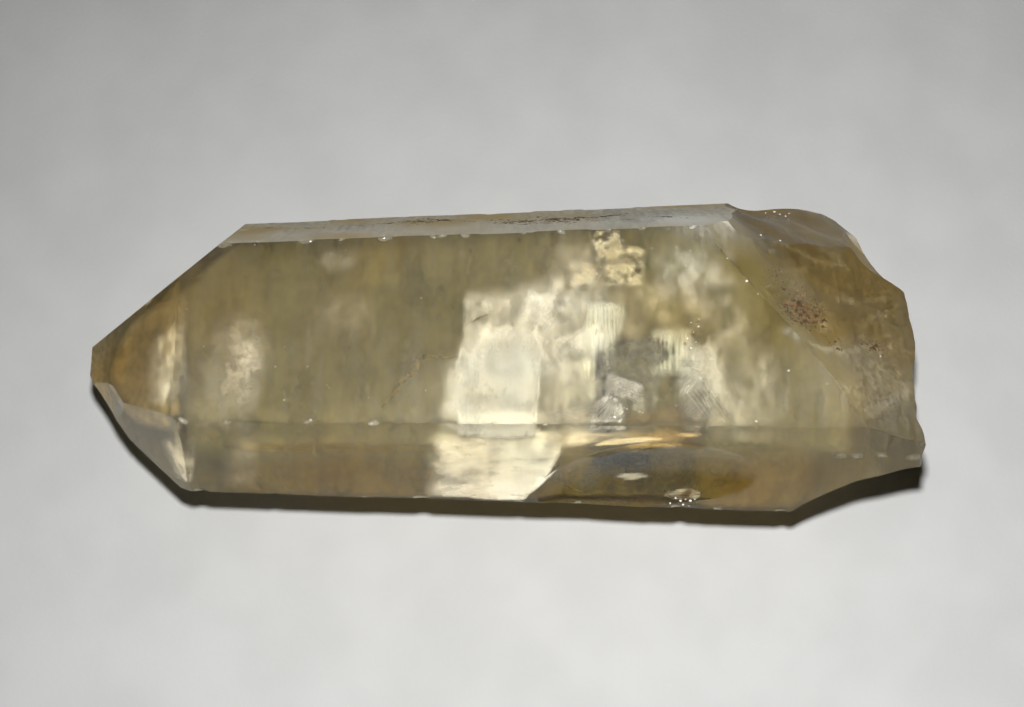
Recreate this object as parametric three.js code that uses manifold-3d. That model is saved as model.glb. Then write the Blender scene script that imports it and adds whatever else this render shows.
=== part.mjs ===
// A natural citrine crystal, lying on one of its prism faces: six prism faces round a long axis, a
// blunt six-sided point at one end, and an old, rough break at the other. It is one piece. The model
// starts as a plain block and loses what lies outside each flat face and each broken surface.
import * as THREE from 'three';
import { mergeVertices } from 'three/addons/utils/BufferGeometryUtils.js';
import Module from 'manifold-3d';

const wasm = await Module();
wasm.setup();

// ---- Driving dimensions: millimetres and degrees ----
// X runs along the crystal's axis, from the point (-X) to the broken end (+X). Z is up.
// "around" is a face's turn about the axis, from straight up towards +Y, and "out" is how far the
// face lies from the axis. A prism face leans in towards the point by its "taper".

const PRISM_FACES = [
  { name: 'top', around: 0, out: 13.0, taper: 1.75 },
  { name: 'upper front', around: -60, out: 16.1, taper: 1.86 },
  { name: 'lower front', around: -120, out: 12.6, taper: 1.91 },
  { name: 'bottom', around: 180, out: 13.0, taper: 0 },
  { name: 'lower back', around: 120, out: 15.1, taper: 2.15 },
  { name: 'upper back', around: 60, out: 13.95, taper: 2.09 },
];

const POINT_LEAN = 38.21; // from each prism face to the point's face above it, as in all quartz
const POINT_FACES = [
  { around: 0, out: 29.6 },
  { around: -60, out: 31.6 },
  { around: -120, out: 29.6 },
  { around: 180, out: 23.6 },
  { around: 120, out: 28.8 },
  { around: 60, out: 27.95 },
];

const STOCK = { length: 96, width: 40, height: 32 };
const BEYOND = 45; // how thick the removed waste is outside each surface
const FACE_SIZE = [121, 70];
const BREAK_CELL = 1.15; // grain of the modelled broken surfaces
const CHIP_CELL = 1.0;

const LEDGE_HEIGHT = 0.12; // growth ledges that cross the prism faces
const LEDGE_LENGTH = 5.5;
const LEDGE_CELLS = [44, 1];

// Broken surfaces. "at" is a point of the surface, "facing" its outward direction.
const SHOULDER = { at: [32, 1, 10.4], facing: [0.389, 0.308, 0.868], size: [40, 44] };
const BACK_SCOOP = { at: [30, 12.5, 4.2], facing: [0.219, 0.75, 0.625], size: [34, 40] };
const BROKEN_END = { at: [40.9, 0, 0], facing: [1, 0, 0], size: [46, 40] };
const END_BITE = { at: [37.2, 8.6, 5], facing: [0.7, 0.64, 0.3], size: [12, 12] };
const NOTCH = { at: [33.6, -15.8, 7], facing: [0.438, -0.85, -0.28], size: [30, 44] };
const FRONT_CHIP = { at: [13, -14.55, 7.8], facing: [-0.0324, -0.8656, 0.4997], size: [28, 16] };
const TIP_CHIP = { at: [-40.4, -5.8, 5.1], facing: [-0.702, -0.512, 0.494], size: [16, 16] };
const TIP_BEVEL = { facing: [-0.84, -0.525, -0.137], out: 37.3 };
const TIP_WEAR = { facing: [-0.985, 0.13, -0.12], out: 41.85 };

const SHOULDER_SHELL = { blow: [9, 7], radius: 11, bend: 0.0035, sink: 0.3 };
const BACK_FORM = { climbFrom: -6, climb: 0.16, fallFrom: 4, fall: 0.05 };
const BACK_DENT = { at: [-4.6, 6.5], reach: 3.2, depth: 1.5 };
const END_BOW = { back: 0.023, front: 0.0025, height: 0.009 };
const END_DENT = { at: [-8.5, 8], reach: 4, depth: 1.0 };
const END_SINK = 0.2;
const END_BITE_BOWL = { reach: 4.6, depth: 0.9 };
const NOTCH_HOLLOW = { middle: -2.2, reach: 6, depth: 0.6, drop: 0.002 };
const FRONT_CHIP_BOWL = { length: 11.2, height: 4.6, depth: 1.25, sink: 0.012, sinkFrom: 6 };
const TIP_CHIP_BOWL = { reach: 1.9, depth: 0.2 };

// Shell-like ripples and uneven ground on the breaks: height and length from crest to crest.
const SHOULDER_RIPPLE = { height: 0.12, length: 5.7 };
const BACK_RIPPLE = { height: 0.1, length: 7 };
const FRONT_CHIP_RIPPLE = { height: 0.13, length: 4.2 };
const SHOULDER_GROUND = { height: 0.2, length: 4, seed: 11 };
const BACK_GROUND = { height: 0.2, length: 3.5, seed: 12 };
const END_STEPS = { height: 0.45, length: 4, seed: 13 };
const END_GROUND = { height: 0.25, length: 2.1, seed: 14 };
const CHIP_GROUND = { height: 0.12, length: 2.3, seed: 15 };

// Pits on the top face: place along and across the crystal, and width.
const PITS = [
  [16.6, -3.2, 1.3], [17.4, -2.2, 1.6], [17.9, -1.0, 1.1], [17.3, 2.7, 1.0], [8.7, 4.8, 0.8],
  [-16.8, 6.3, 1.2], [-26.2, 4.3, 0.7], [23.6, -8.2, 0.9],
];
const PIT_DEPTH = 0.35; // of a pit's width

// Rows of small chips along the edges that stand out: start, end, how many, and widest chip.
const CHIPPED_EDGES = [
  { from: [-29.3, 7.9, 12.1], to: [-8, 8.3, 12.7], chips: 5, widest: 1.3 },
  { from: [-32, -10.4, 12.0], to: [4, -11.1, 13.1], chips: 4, widest: 0.9 },
  { from: [-30, -15.4, 3.5], to: [26, -17.6, 3.6], chips: 7, widest: 1.2 },
  { from: [-28, 15.6, -1.1], to: [20, 17.7, -1.2], chips: 6, widest: 1.3 },
  { from: [-38.4, -10, 2.7], to: [-32.2, -15.2, 3.5], chips: 3, widest: 0.9 },
  { from: [-41, 1.2, 6.2], to: [-32.6, 4.5, 12], chips: 2, widest: 0.9 },
  { from: [-28.8, 7.9, 12.1], to: [-28.8, 15.5, -1.1], chips: 3, widest: 1.1 },
  { from: [-18, -6.3, -13], to: [30, -8.2, -13], chips: 4, widest: 1.6 },
  { from: [-18, 9.2, -13], to: [30, 11.2, -13], chips: 4, widest: 1.6 },
];

const SCAR_SHAPE = [1.5, 0.75, 0.75]; // stretched along the edge, flat across it
const SCAR_SIDES = 9;
const SCAR_RINGS = 6;
const SCAR_TURN = 0.9; // radians
const SMALLEST_SCAR = 0.55; // of the widest
const SCAR_SEED = 29;

// ---- Randomness that is the same on every run ----

function seeded(seed) {
  let state = seed;
  return () => {
    state = (state * 1664525 + 1013904223) % 4294967296;
    return state / 4294967296;
  };
}

/** A fixed random value from -1 to 1 for each crossing of a unit grid. */
function crossingValue(i, j, seed) {
  const wave = Math.sin(i * 127.1 + j * 311.7 + seed * 74.7) * 43758.5453;
  return (wave - Math.floor(wave)) * 2 - 1;
}

/** Smooth uneven ground, about one hump to a length, up to its height above and below zero. */
function ground(x, y, { height, length, seed }) {
  const i = Math.floor(x / length);
  const j = Math.floor(y / length);
  const s = THREE.MathUtils.smoothstep(x / length - i, 0, 1);
  const t = THREE.MathUtils.smoothstep(y / length - j, 0, 1);
  const near = THREE.MathUtils.lerp(crossingValue(i, j, seed), crossingValue(i + 1, j, seed), s);
  const far = THREE.MathUtils.lerp(crossingValue(i, j + 1, seed), crossingValue(i + 1, j + 1, seed), s);
  return height * THREE.MathUtils.lerp(near, far, t);
}

function ripple(distance, { height, length }) {
  return height * Math.sin((2 * Math.PI * distance) / length);
}

/** The depth of a soft round dent. */
function dent(x, y, { at, reach, depth }) {
  const squared = (x - at[0]) ** 2 + (y - at[1]) ** 2;
  return depth * Math.exp(-squared / reach ** 2);
}

// ---- Solids for cutting ----

/** Turns a closed three.js geometry into a solid that can be cut. */
function solid(geometry) {
  const bare = geometry.clone();
  bare.deleteAttribute('normal');
  bare.deleteAttribute('uv');
  const merged = mergeVertices(bare, 1e-4);
  const vertProperties = new Float32Array(merged.attributes.position.array);
  const triVerts = new Uint32Array(merged.index.array);
  return new wasm.Manifold(new wasm.Mesh({ numProp: 3, vertProperties, triVerts }));
}

/** Local axes on a surface: u along the crystal (or along Y on the end), v across, w outwards. */
function surfaceAxes(facing) {
  const w = new THREE.Vector3(...facing).normalize();
  const along = Math.abs(w.x) > 0.95 ? new THREE.Vector3(0, 1, 0) : new THREE.Vector3(1, 0, 0);
  const u = along.addScaledVector(w, -along.dot(w)).normalize();
  const v = new THREE.Vector3().crossVectors(w, u);
  return { u, v, w };
}

/**
 * The waste outside one surface: a thick block whose inner side follows relief(u, v), the height
 * of the surface over its plane.
 */
function waste({ at, facing, size }, cells, relief) {
  const block = new THREE.BoxGeometry(size[0], size[1], BEYOND, cells[0], cells[1], 1);
  const points = block.attributes.position;
  for (let i = 0; i < points.count; i += 1) {
    const inner = points.getZ(i) < 0;
    points.setZ(i, inner ? relief(points.getX(i), points.getY(i)) : BEYOND);
  }
  const { u, v, w } = surfaceAxes(facing);
  block.applyMatrix4(new THREE.Matrix4().makeBasis(u, v, w).setPosition(...at));
  return solid(block);
}

/** Cells of about the given size over a surface. */
function cellsFor(size, cell) {
  return [Math.ceil(size[0] / cell), Math.ceil(size[1] / cell)];
}

// ---- Flat faces ----

/** Outward direction of a face that is turned about the axis and leans in towards the point. */
function faceDirection(around, lean) {
  const turn = THREE.MathUtils.degToRad(around);
  const tilt = THREE.MathUtils.degToRad(lean);
  return [
    -Math.sin(tilt),
    Math.sin(turn) * Math.cos(tilt),
    Math.cos(turn) * Math.cos(tilt),
  ];
}

function pointOut(facing, out) {
  const length = Math.hypot(...facing);
  return facing.map((part) => (part * out) / length);
}

/** Low growth ledges across a prism face; they only ever lie below the face's own plane. */
function ledge(along, seed) {
  const bay = Math.round(along / LEDGE_LENGTH);
  return -LEDGE_HEIGHT * Math.abs(crossingValue(bay, 0, seed));
}

function prismFaceWaste({ name, around, out, taper }, index) {
  const facing = faceDirection(around, taper);
  if (name === 'bottom') return flatWaste(facing, out);
  const surface = { at: pointOut(facing, out), facing, size: FACE_SIZE };
  return waste(surface, LEDGE_CELLS, (u) => ledge(u, index + 1));
}

function flatWaste(facing, out) {
  return waste({ at: pointOut(facing, out), facing, size: FACE_SIZE }, [1, 1], () => 0);
}

// ---- Broken surfaces ----

/** The broad break that takes the top face away near the base: shell-like, with low ripples. */
function shoulderRelief(u, v) {
  const { blow, radius, bend, sink } = SHOULDER_SHELL;
  const fromBlow = Math.hypot(u - blow[0], v - blow[1]);
  const shell = bend * (fromBlow - radius) ** 2 - sink;
  return shell + ripple(fromBlow, SHOULDER_RIPPLE) + ground(u, v, SHOULDER_GROUND);
}

/** The hollow behind the shoulder: it climbs steeply back to the whole face. */
function backScoopRelief(u, v) {
  const { climbFrom, climb, fallFrom, fall } = BACK_FORM;
  const rise = climb * Math.max(0, climbFrom - u) ** 2;
  const drop = fall * Math.max(0, u - fallFrom) ** 2;
  const rough = ripple(u + v, BACK_RIPPLE) + ground(u, v, BACK_GROUND);
  return rise - drop - dent(u, v, BACK_DENT) + rough;
}

/** The broken end: bowed, more at the back, and hackly. */
function brokenEndRelief(y, z) {
  const sideways = y > 0 ? END_BOW.back * y * y : END_BOW.front * y * y;
  const bow = sideways + END_BOW.height * z * z;
  const rough = Math.abs(ground(y, z, END_STEPS)) + ground(y, z, END_GROUND);
  return rough - bow - dent(y, z, END_DENT) - END_SINK;
}

/** A round, shallow bowl: its rim lies in its plane at its reach. */
function bowlRelief(u, v, { reach, depth }) {
  return depth * ((u * u + v * v) / reach ** 2 - 1) + ground(u, v, CHIP_GROUND);
}

/** The hollow that takes the lower front corner away, from its rim down. */
function notchRelief(u, v) {
  const { middle, reach, depth, drop } = NOTCH_HOLLOW;
  const hollow = depth * (((u - middle) / reach) ** 2 - 1);
  return Math.min(hollow, depth) + drop * v * v + ground(u, v, CHIP_GROUND);
}

/** The long shell-shaped chip on the upper front face: it sinks and ripples towards one end. */
function frontChipRelief(u, v) {
  const { length, height, depth, sink, sinkFrom } = FRONT_CHIP_BOWL;
  const across = v + sink * Math.min(0, u - sinkFrom) ** 2;
  const spread = (u / length) ** 2 + (across / height) ** 2;
  const rings = ripple(Math.hypot(u + length, across), FRONT_CHIP_RIPPLE);
  return depth * (spread - 1) + rings * THREE.MathUtils.clamp(1 - spread, 0, 1);
}

function brokenWaste(surface, cell, relief) {
  return waste(surface, cellsFor(surface.size, cell), relief);
}

// ---- Small marks ----

/** A three-sided pit, as the faces of quartz have. */
function pit([x, y, width], plane) {
  const cone = new THREE.ConeGeometry(width / 2, width * PIT_DEPTH * 2, 3);
  cone.rotateX(-Math.PI / 2);
  cone.translate(x, y, plane(x));
  return solid(cone);
}

function topFaceHeight(x) {
  const [nx, , nz] = faceDirection(0, PRISM_FACES[0].taper);
  return (PRISM_FACES[0].out - nx * x) / nz;
}

/** A small flat-lying flake scar, as a squashed ball that bites into an edge. */
function flakeScar(centre, width, random) {
  const ball = new THREE.SphereGeometry(width / 2, SCAR_SIDES, SCAR_RINGS);
  ball.scale(...SCAR_SHAPE);
  ball.rotateZ((random() - 0.5) * SCAR_TURN);
  ball.rotateY((random() - 0.5) * SCAR_TURN);
  ball.translate(...centre);
  return solid(ball);
}

function flakeScars({ from, to, chips, widest }, random) {
  const start = new THREE.Vector3(...from);
  const end = new THREE.Vector3(...to);
  const scars = [];
  for (let i = 0; i < chips; i += 1) {
    const place = start.clone().lerp(end, (i + random()) / chips);
    const width = widest * THREE.MathUtils.lerp(SMALLEST_SCAR, 1, random());
    scars.push(flakeScar(place.toArray(), width, random));
  }
  return scars;
}

// ---- The crystal ----

function wasteOfFaces() {
  const prism = PRISM_FACES.map(prismFaceWaste);
  const point = POINT_FACES.map(({ around, out }) => flatWaste(faceDirection(around, POINT_LEAN), out));
  return [...prism, ...point];
}

function wasteOfBreaks() {
  return [
    brokenWaste(SHOULDER, BREAK_CELL, shoulderRelief),
    brokenWaste(BACK_SCOOP, BREAK_CELL, backScoopRelief),
    brokenWaste(BROKEN_END, BREAK_CELL, brokenEndRelief),
    brokenWaste(END_BITE, CHIP_CELL, (u, v) => bowlRelief(u, v, END_BITE_BOWL)),
    brokenWaste(NOTCH, BREAK_CELL, notchRelief),
    brokenWaste(FRONT_CHIP, CHIP_CELL, frontChipRelief),
    brokenWaste(TIP_CHIP, CHIP_CELL, (u, v) => bowlRelief(u, v, TIP_CHIP_BOWL)),
    flatWaste(TIP_BEVEL.facing, TIP_BEVEL.out),
    flatWaste(TIP_WEAR.facing, TIP_WEAR.out),
  ];
}

function smallMarks() {
  const random = seeded(SCAR_SEED);
  const pits = PITS.map((place) => pit(place, topFaceHeight));
  return [...pits, ...CHIPPED_EDGES.flatMap((edge) => flakeScars(edge, random))];
}

function crystalGeometry() {
  let crystal = solid(new THREE.BoxGeometry(STOCK.length, STOCK.width, STOCK.height));
  for (const cutter of [...wasteOfFaces(), ...wasteOfBreaks(), ...smallMarks()]) {
    crystal = crystal.subtract(cutter);
  }
  const mesh = crystal.getMesh();
  const geometry = new THREE.BufferGeometry();
  geometry.setAttribute('position', new THREE.BufferAttribute(mesh.vertProperties, 3));
  geometry.setIndex(new THREE.BufferAttribute(mesh.triVerts, 1));
  return geometry;
}

/** Puts the origin under the middle of the crystal, on the surface that it lies on. */
function standOnOrigin(geometry) {
  geometry.computeBoundingBox();
  const { min, max } = geometry.boundingBox;
  geometry.translate(-(min.x + max.x) / 2, -(min.y + max.y) / 2, -min.z);
  geometry.computeVertexNormals();
  return geometry;
}

const citrine = new THREE.MeshStandardMaterial({
  name: 'citrine',
  color: 0xb7a680,
  roughness: 0.14,
  metalness: 0,
  transparent: true,
  opacity: 0.6,
});

const crystal = new THREE.Mesh(standOnOrigin(crystalGeometry()), citrine);
crystal.name = 'citrine_crystal';

const part = new THREE.Group();
part.add(crystal);

export default part;
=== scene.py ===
# %% [markdown]
# # A citrine crystal, lying on a sheet of paper
# Citrine is quartz, tinted yellow to brown. This one is a natural point, about 84 mm long: six long
# prism faces, a blunt six-sided tip, and a rough break where it once stood on its rock. It was never
# cut or polished, so it has growth ledges, chips and rusty stains, and cracks and milky veils inside.
# The script rebuilds it piece by piece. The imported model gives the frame: its box, its one solid and
# its one body, "root". Everything below is in the same frame. Sizes are written in millimetres and
# turned into metres by one value, because a reader can check a millimetre against a ruler.

# %% Load the frame
import math

import bmesh
import bpy
import numpy as np
from mathutils import Matrix, Vector


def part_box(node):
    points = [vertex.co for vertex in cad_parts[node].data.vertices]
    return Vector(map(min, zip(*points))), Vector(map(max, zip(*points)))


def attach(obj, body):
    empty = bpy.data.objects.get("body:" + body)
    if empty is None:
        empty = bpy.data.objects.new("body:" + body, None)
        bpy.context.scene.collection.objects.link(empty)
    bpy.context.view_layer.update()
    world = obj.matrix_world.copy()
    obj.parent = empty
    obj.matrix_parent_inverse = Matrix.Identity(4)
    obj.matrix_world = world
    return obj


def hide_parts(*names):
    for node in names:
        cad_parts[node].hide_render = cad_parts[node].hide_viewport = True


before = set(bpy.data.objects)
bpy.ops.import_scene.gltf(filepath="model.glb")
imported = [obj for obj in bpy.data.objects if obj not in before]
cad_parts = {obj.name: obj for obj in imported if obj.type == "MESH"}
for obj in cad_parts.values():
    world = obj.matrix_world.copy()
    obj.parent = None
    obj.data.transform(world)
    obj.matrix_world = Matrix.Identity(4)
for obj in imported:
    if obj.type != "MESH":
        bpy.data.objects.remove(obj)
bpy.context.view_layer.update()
MM = 0.001
NODE = "citrine_crystal"
BODY = "root"
low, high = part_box(NODE)
print("CAD box, mm:", [round(side / MM, 2) for side in high - low])

# %% [markdown]
# ## Camera
# A crystal lying flat is best seen from nearly above, so that the top face and the faces beside it
# show together. The camera stands 18 degrees off the vertical, about 15 cm away. That is close, so
# edges that run away from it draw together a little. A lens of 55 mm on the usual 36 mm sensor
# frames the whole crystal. The crystal's long axis is the handiest place to measure from, so it has
# a named place of its own, and the camera aims at a point on the top face just over it.

# %% Camera
AXIS_PLACE = Vector((0.962, -0.079, 13.0))  # the crystal's long axis, in the frame, mm
VIEW_TILT = math.radians(17.95)
VIEW_TURN = math.radians(0.16)
VIEW_DISTANCE = 150.8
AIM = Vector((0.0, -4.0, 13.0))  # from the axis, mm
LENS = 55.13
SENSOR = 36.0


def in_frame(place):
    """A place given from the crystal's axis in mm, as metres in the frame."""
    return (Vector(place) + AXIS_PLACE) * MM


def add_object(name, data):
    thing = bpy.data.objects.new(name, data)
    bpy.context.scene.collection.objects.link(thing)
    return thing


def look_at(thing, place, target):
    """Puts a camera or lamp at a place, pointing at a target, both from the axis in mm."""
    thing.location = in_frame(place)
    aim = in_frame(target) - in_frame(place)
    thing.rotation_euler = aim.to_track_quat("-Z", "Y").to_euler()


backwards = Vector((
    -math.sin(VIEW_TURN) * math.sin(VIEW_TILT),
    -math.cos(VIEW_TURN) * math.sin(VIEW_TILT),
    math.cos(VIEW_TILT),
))
camera_data = bpy.data.cameras.new("camera")
camera_data.lens = LENS
camera_data.sensor_width = SENSOR
camera_data.clip_start = 0.01
camera = add_object("camera", camera_data)
look_at(camera, AIM + backwards * VIEW_DISTANCE, AIM)
bpy.context.scene.camera = camera
print("camera at, mm:", [round(part / MM, 1) for part in camera.location])

# %% [markdown]
# ## Cutting a crystal
# A crystal is what is left between flat faces, so it can be made as a gem cutter works: start from a
# plain block, and cut away what lies outside each face. Here each cut is a thick block of waste. Its
# inner side is a fine grid that follows a relief, a height over the face's plane, so one tool makes
# a glassy face with low growth ledges, a rippled shell-shaped break or a rough end. Sculpting or a
# voxel remesh would round the edges that make a crystal look sharp. First come the helpers that make
# rough ground which is the same on every run.

# %% Repeatable roughness
def crossing_value(i, j, seed):
    """A fixed random value from -1 to 1 for each crossing of a unit grid."""
    wave = np.sin(i * 127.1 + j * 311.7 + seed * 74.7) * 43758.5453
    return (wave - np.floor(wave)) * 2 - 1


def ease(t):
    t = np.clip(t, 0, 1)
    return t * t * (3 - 2 * t)


def ground(x, y, height, length, seed):
    """Smooth uneven ground, one hump to a length, up to its height above and below zero."""
    i, j = np.floor(x / length), np.floor(y / length)
    s, t = ease(x / length - i), ease(y / length - j)
    near = crossing_value(i, j, seed) * (1 - s) + crossing_value(i + 1, j, seed) * s
    far = crossing_value(i, j + 1, seed) * (1 - s) + crossing_value(i + 1, j + 1, seed) * s
    return height * (near * (1 - t) + far * t)


def ripple(distance, height, length):
    return height * np.sin(2 * math.pi * distance / length)


def dent(x, y, at, reach, depth):
    """The depth of a soft round dent."""
    return depth * np.exp(-((x - at[0]) ** 2 + (y - at[1]) ** 2) / reach**2)


# %% Directions on a surface
def surface_axes(facing):
    """Axes on a surface: u along the crystal (along Y on its end), v across, w outwards."""
    w = Vector(facing).normalized()
    along = Vector((0, 1, 0)) if abs(w.x) > 0.95 else Vector((1, 0, 0))
    u = (along - w * along.dot(w)).normalized()
    return u, w.cross(u), w


def on_surface(points, at, facing):
    """Where points of the crystal lie on a surface, as (u, v) pairs."""
    u, v, _ = surface_axes(facing)
    offsets = [Vector(point) - Vector(at) for point in points]
    return [(offset.dot(u), offset.dot(v)) for offset in offsets]


# %% [markdown]
# ## Steps in a break
# Where two shells of a break meet, a step is left: the ground drops along a line and climbs back
# softly. A step is given here by the points it runs through. It lies on one side of the line only,
# drops within less than a millimetre and fades with distance.

# %% Steps along a line
def along_line(x, y, points):
    """The distance to a line through points, and on which side of it each place lies."""
    nearest = np.full_like(x, 1e9)
    side = np.zeros_like(x)
    for (ax, ay), (bx, by) in zip(points, points[1:]):
        dx, dy = bx - ax, by - ay
        share = np.clip(((x - ax) * dx + (y - ay) * dy) / (dx * dx + dy * dy), 0, 1)
        away = np.hypot(x - ax - share * dx, y - ay - share * dy)
        turn = dx * (y - ay) - dy * (x - ax)
        side = np.where(away < nearest, np.sign(turn), side)
        nearest = np.minimum(away, nearest)
    return nearest, side


STEP_EDGE = 0.8  # how far a step takes to drop, mm


def step(x, y, points, height, reach):
    """A drop on the left side of a line, fullest near the line and gone at its reach."""
    away, side = along_line(x, y, points)
    return -height * np.where(side > 0, ease(away / STEP_EDGE) * (1 - ease(away / reach)), 0)


# %% A block of waste with a relief on its inner side
BEYOND = 45.0  # how thick the waste is, mm
SURFACES = ["stock"]  # every surface's name; its place in the list marks its faces


def mark_surface(mesh, name):
    """Marks every face of a cutter with the surface that it cuts."""
    if name not in SURFACES:
        SURFACES.append(name)
    mark = mesh.attributes.new("surface", "INT", "FACE")
    mark.data.foreach_set("value", [SURFACES.index(name)] * len(mesh.polygons))


def waste(name, at, facing, size, cell, relief):
    """A closed block outside one surface, as an object, in millimetres from the axis."""
    columns, rows = (max(1, round(side / cell)) for side in size)
    u = np.linspace(-size[0] / 2, size[0] / 2, columns + 1)
    v = np.linspace(-size[1] / 2, size[1] / 2, rows + 1)
    gu, gv = (grid.ravel() for grid in np.meshgrid(u, v, indexing="ij"))
    height = relief(gu, gv) + np.zeros_like(gu)
    number = np.arange(gu.size).reshape(columns + 1, rows + 1)
    rim = np.concatenate([number[:, 0], number[-1, 1:], number[-2::-1, -1], number[0, -2:0:-1]])
    grid = np.stack([number[:-1, :-1], number[:-1, 1:], number[1:, 1:], number[1:, :-1]], -1)
    lid = gu.size + np.arange(rim.size)
    wall = np.stack([rim, np.roll(rim, -1), np.roll(lid, -1), lid], -1)
    local = np.concatenate([
        np.stack([gu, gv, height], -1),
        np.stack([gu[rim], gv[rim], np.full(rim.size, BEYOND)], -1),
    ])
    places = local @ np.array(surface_axes(facing)) + np.array(at)
    mesh = bpy.data.meshes.new(name)
    faces = grid.reshape(-1, 4).tolist() + wall.tolist() + [lid.tolist()]
    mesh.from_pydata(places.tolist(), [], faces)
    mark_surface(mesh, name)
    return add_object(name, mesh)


# %% [markdown]
# ## The grown faces
# Quartz grows to fixed angles. Its six prism faces stand 60 degrees apart, and each face of the
# point leans 38.2 degrees in from the prism face below it. Only how far each face lies from the axis
# differs, and that is what makes one crystal differ from the next. This crystal also narrows by
# about two degrees towards its point. The prism faces carry low ledges and hair-fine lines across
# them, where growth stopped and went on. They are cut into the relief and not painted, because it is
# the light bending through them that shows them.

# %% Face directions and distances
PRISM_FACES = {  # name: turn about the axis, distance from it in mm, taper
    "top": (0, 13.0, 1.75),
    "upper front": (-60, 16.1, 1.86),
    "lower front": (-120, 12.6, 1.91),
    "bottom": (180, 13.0, 0.0),
    "lower back": (120, 15.1, 2.15),
    "upper back": (60, 13.95, 2.09),
}
POINT_LEAN = 38.21
POINT_FACES = {  # name: turn about the axis, distance from it in mm
    "point top": (0, 29.6),
    "point upper front": (-60, 31.6),
    "point lower front": (-120, 29.6),
    "point bottom": (180, 23.6),
    "point lower back": (120, 28.8),
    "point upper back": (60, 27.95),
}
FACE_SIZE = (104.0, 36.0)
POINT_SIZE = (80.0, 60.0)
FACE_CELL = 0.5
LEDGE_HEIGHT = 0.12
POINT_LEDGE_HEIGHT = 0.015
LEDGE_LENGTH = 5.5
LINE_HEIGHT = 0.004
LINE_TURNS = 5.1  # radians of the lines' wave to a mm, so about one line every 1.2 mm
SWELL = 0.012


def face_direction(around, lean):
    turn, tilt = math.radians(around), math.radians(lean)
    return Vector((
        -math.sin(tilt),
        math.sin(turn) * math.cos(tilt),
        math.cos(turn) * math.cos(tilt),
    ))


def grown_relief(seed, ledge_height):
    """Ledges, fine cross lines and a faint swell, all at or below the face's own plane."""
    def relief(u, v):
        wander = ground(v, u, height=0.25, length=3.0, seed=seed)
        bay = np.floor((u + wander) / LEDGE_LENGTH + 0.5)
        ledge = ledge_height * np.abs(crossing_value(bay, 0, seed))
        lines = LINE_HEIGHT * (1 + np.sin(u * LINE_TURNS + 2.0 * np.sin(u * 0.37) + 0.15 * v))
        swell = SWELL + ground(u, v, height=SWELL, length=7.0, seed=seed + 50)
        return -ledge - lines - swell
    return relief


def grown_wastes():
    made = []
    for seed, (name, (around, out, taper)) in enumerate(PRISM_FACES.items(), 1):
        facing = face_direction(around, taper)
        relief = grown_relief(seed, 0.0 if name == "bottom" else LEDGE_HEIGHT)
        made.append(waste(name, facing * out, facing, FACE_SIZE, FACE_CELL, relief))
    for seed, (name, (around, out)) in enumerate(POINT_FACES.items(), 21):
        facing = face_direction(around, POINT_LEAN)
        relief = grown_relief(seed, POINT_LEDGE_HEIGHT)
        made.append(waste(name, facing * out, facing, POINT_SIZE, FACE_CELL, relief))
    return made


# %% [markdown]
# ## The breaks
# Quartz has no plane that it splits along. It breaks like thick glass, in curved shells with low
# ripples about the blow. Each break here is a bowl or a bent sheet with ripples, steps and uneven
# ground. The base is the roughest, because it tore off its rock in steps. Fine broken ground on top
# of each form, called hackle, keeps the breaks from looking moulded.

# %% Where the breaks lie
BREAK_CELL = 0.36
WEAR_CELL = 0.8
SHOULDER = ((32, 1, 10.4), (0.389, 0.308, 0.868), (40, 44))
BACK_SCOOP = ((30, 12.5, 4.2), (0.219, 0.75, 0.625), (34, 40))
BROKEN_END = ((40.9, 0, 0), (1, 0, 0), (46, 40))
END_BITE = ((37.2, 8.6, 5), (0.7, 0.64, 0.3), (12, 12))
NOTCH = ((33.6, -15.8, 7), (0.438, -0.85, -0.28), (30, 44))
FRONT_CHIP = ((13, -14.55, 7.8), (-0.0324, -0.8656, 0.4997), (28, 16))
TIP_CHIP = ((-40.4, -5.8, 5.1), (-0.702, -0.512, 0.494), (16, 16))
TIP_BEVEL = ((-0.84, -0.525, -0.137), 37.3)
TIP_WEAR = ((-0.985, 0.13, -0.12), 41.85)
SHOULDER_BLOW = (9, 7)  # where the blow fell, along and across the shoulder, mm
SHOULDER_BEND = 0.0035
SHOULDER_LOW_RING = 11  # how far from the blow the shell lies deepest, mm
SHOULDER_DEPTH = 0.3
SCOOP_RISE = (-6, 0.16)  # where its inner end starts to climb, and how fast
SCOOP_DROP = (4, 0.05)  # where its outer end starts to fall away, and how fast
END_FALL = (0.023, 0.0025, 0.009)  # how fast the base falls away to back, to front, and up and down
END_DEPTH = 0.2
NOTCH_MIDDLE = -2.2
NOTCH_REACH = 6
NOTCH_DEPTH = 0.6
NOTCH_BEND = 0.002
FRONT_CHIP_REACH = (11.2, 4.6)  # half its length and half its width, mm
FRONT_CHIP_DEPTH = 1.25
FRONT_CHIP_BEND = (6, 0.012)  # where it starts to bend down towards the point, and how fast
SHOULDER_STEPS = (  # the points a step runs through, from the axis; its height and reach
    (((20.4, 6.8, 13.4), (21.9, 3.4, 12.9), (23.9, 1.7, 12.4), (26.5, -0.6, 11.6)), 0.25, 2.2),
    (((36.5, 2.6, 8.5), (31.0, 5.4, 10.0), (26.5, 8.8, 11.4), (22.5, 10.4, 12.0)), 0.35, 3.5),
    (((26.0, -0.2, 12.0), (29.2, -3.2, 11.6), (32.0, -3.4, 10.9), (36.5, -1.6, 9.0)), 0.16, 2.6),
    (((35.5, 4.2, 8.8), (33.2, 0.4, 10.0), (34.0, -5.5, 10.6)), 0.12, 2.0),
)


def hackle(u, v, seed, height):
    """Fine broken ground on top of a break's main form."""
    coarse = ground(u, v, height, 0.95, seed)
    return coarse + ground(u, v, height * 0.6, 0.5, seed + 1)


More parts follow.
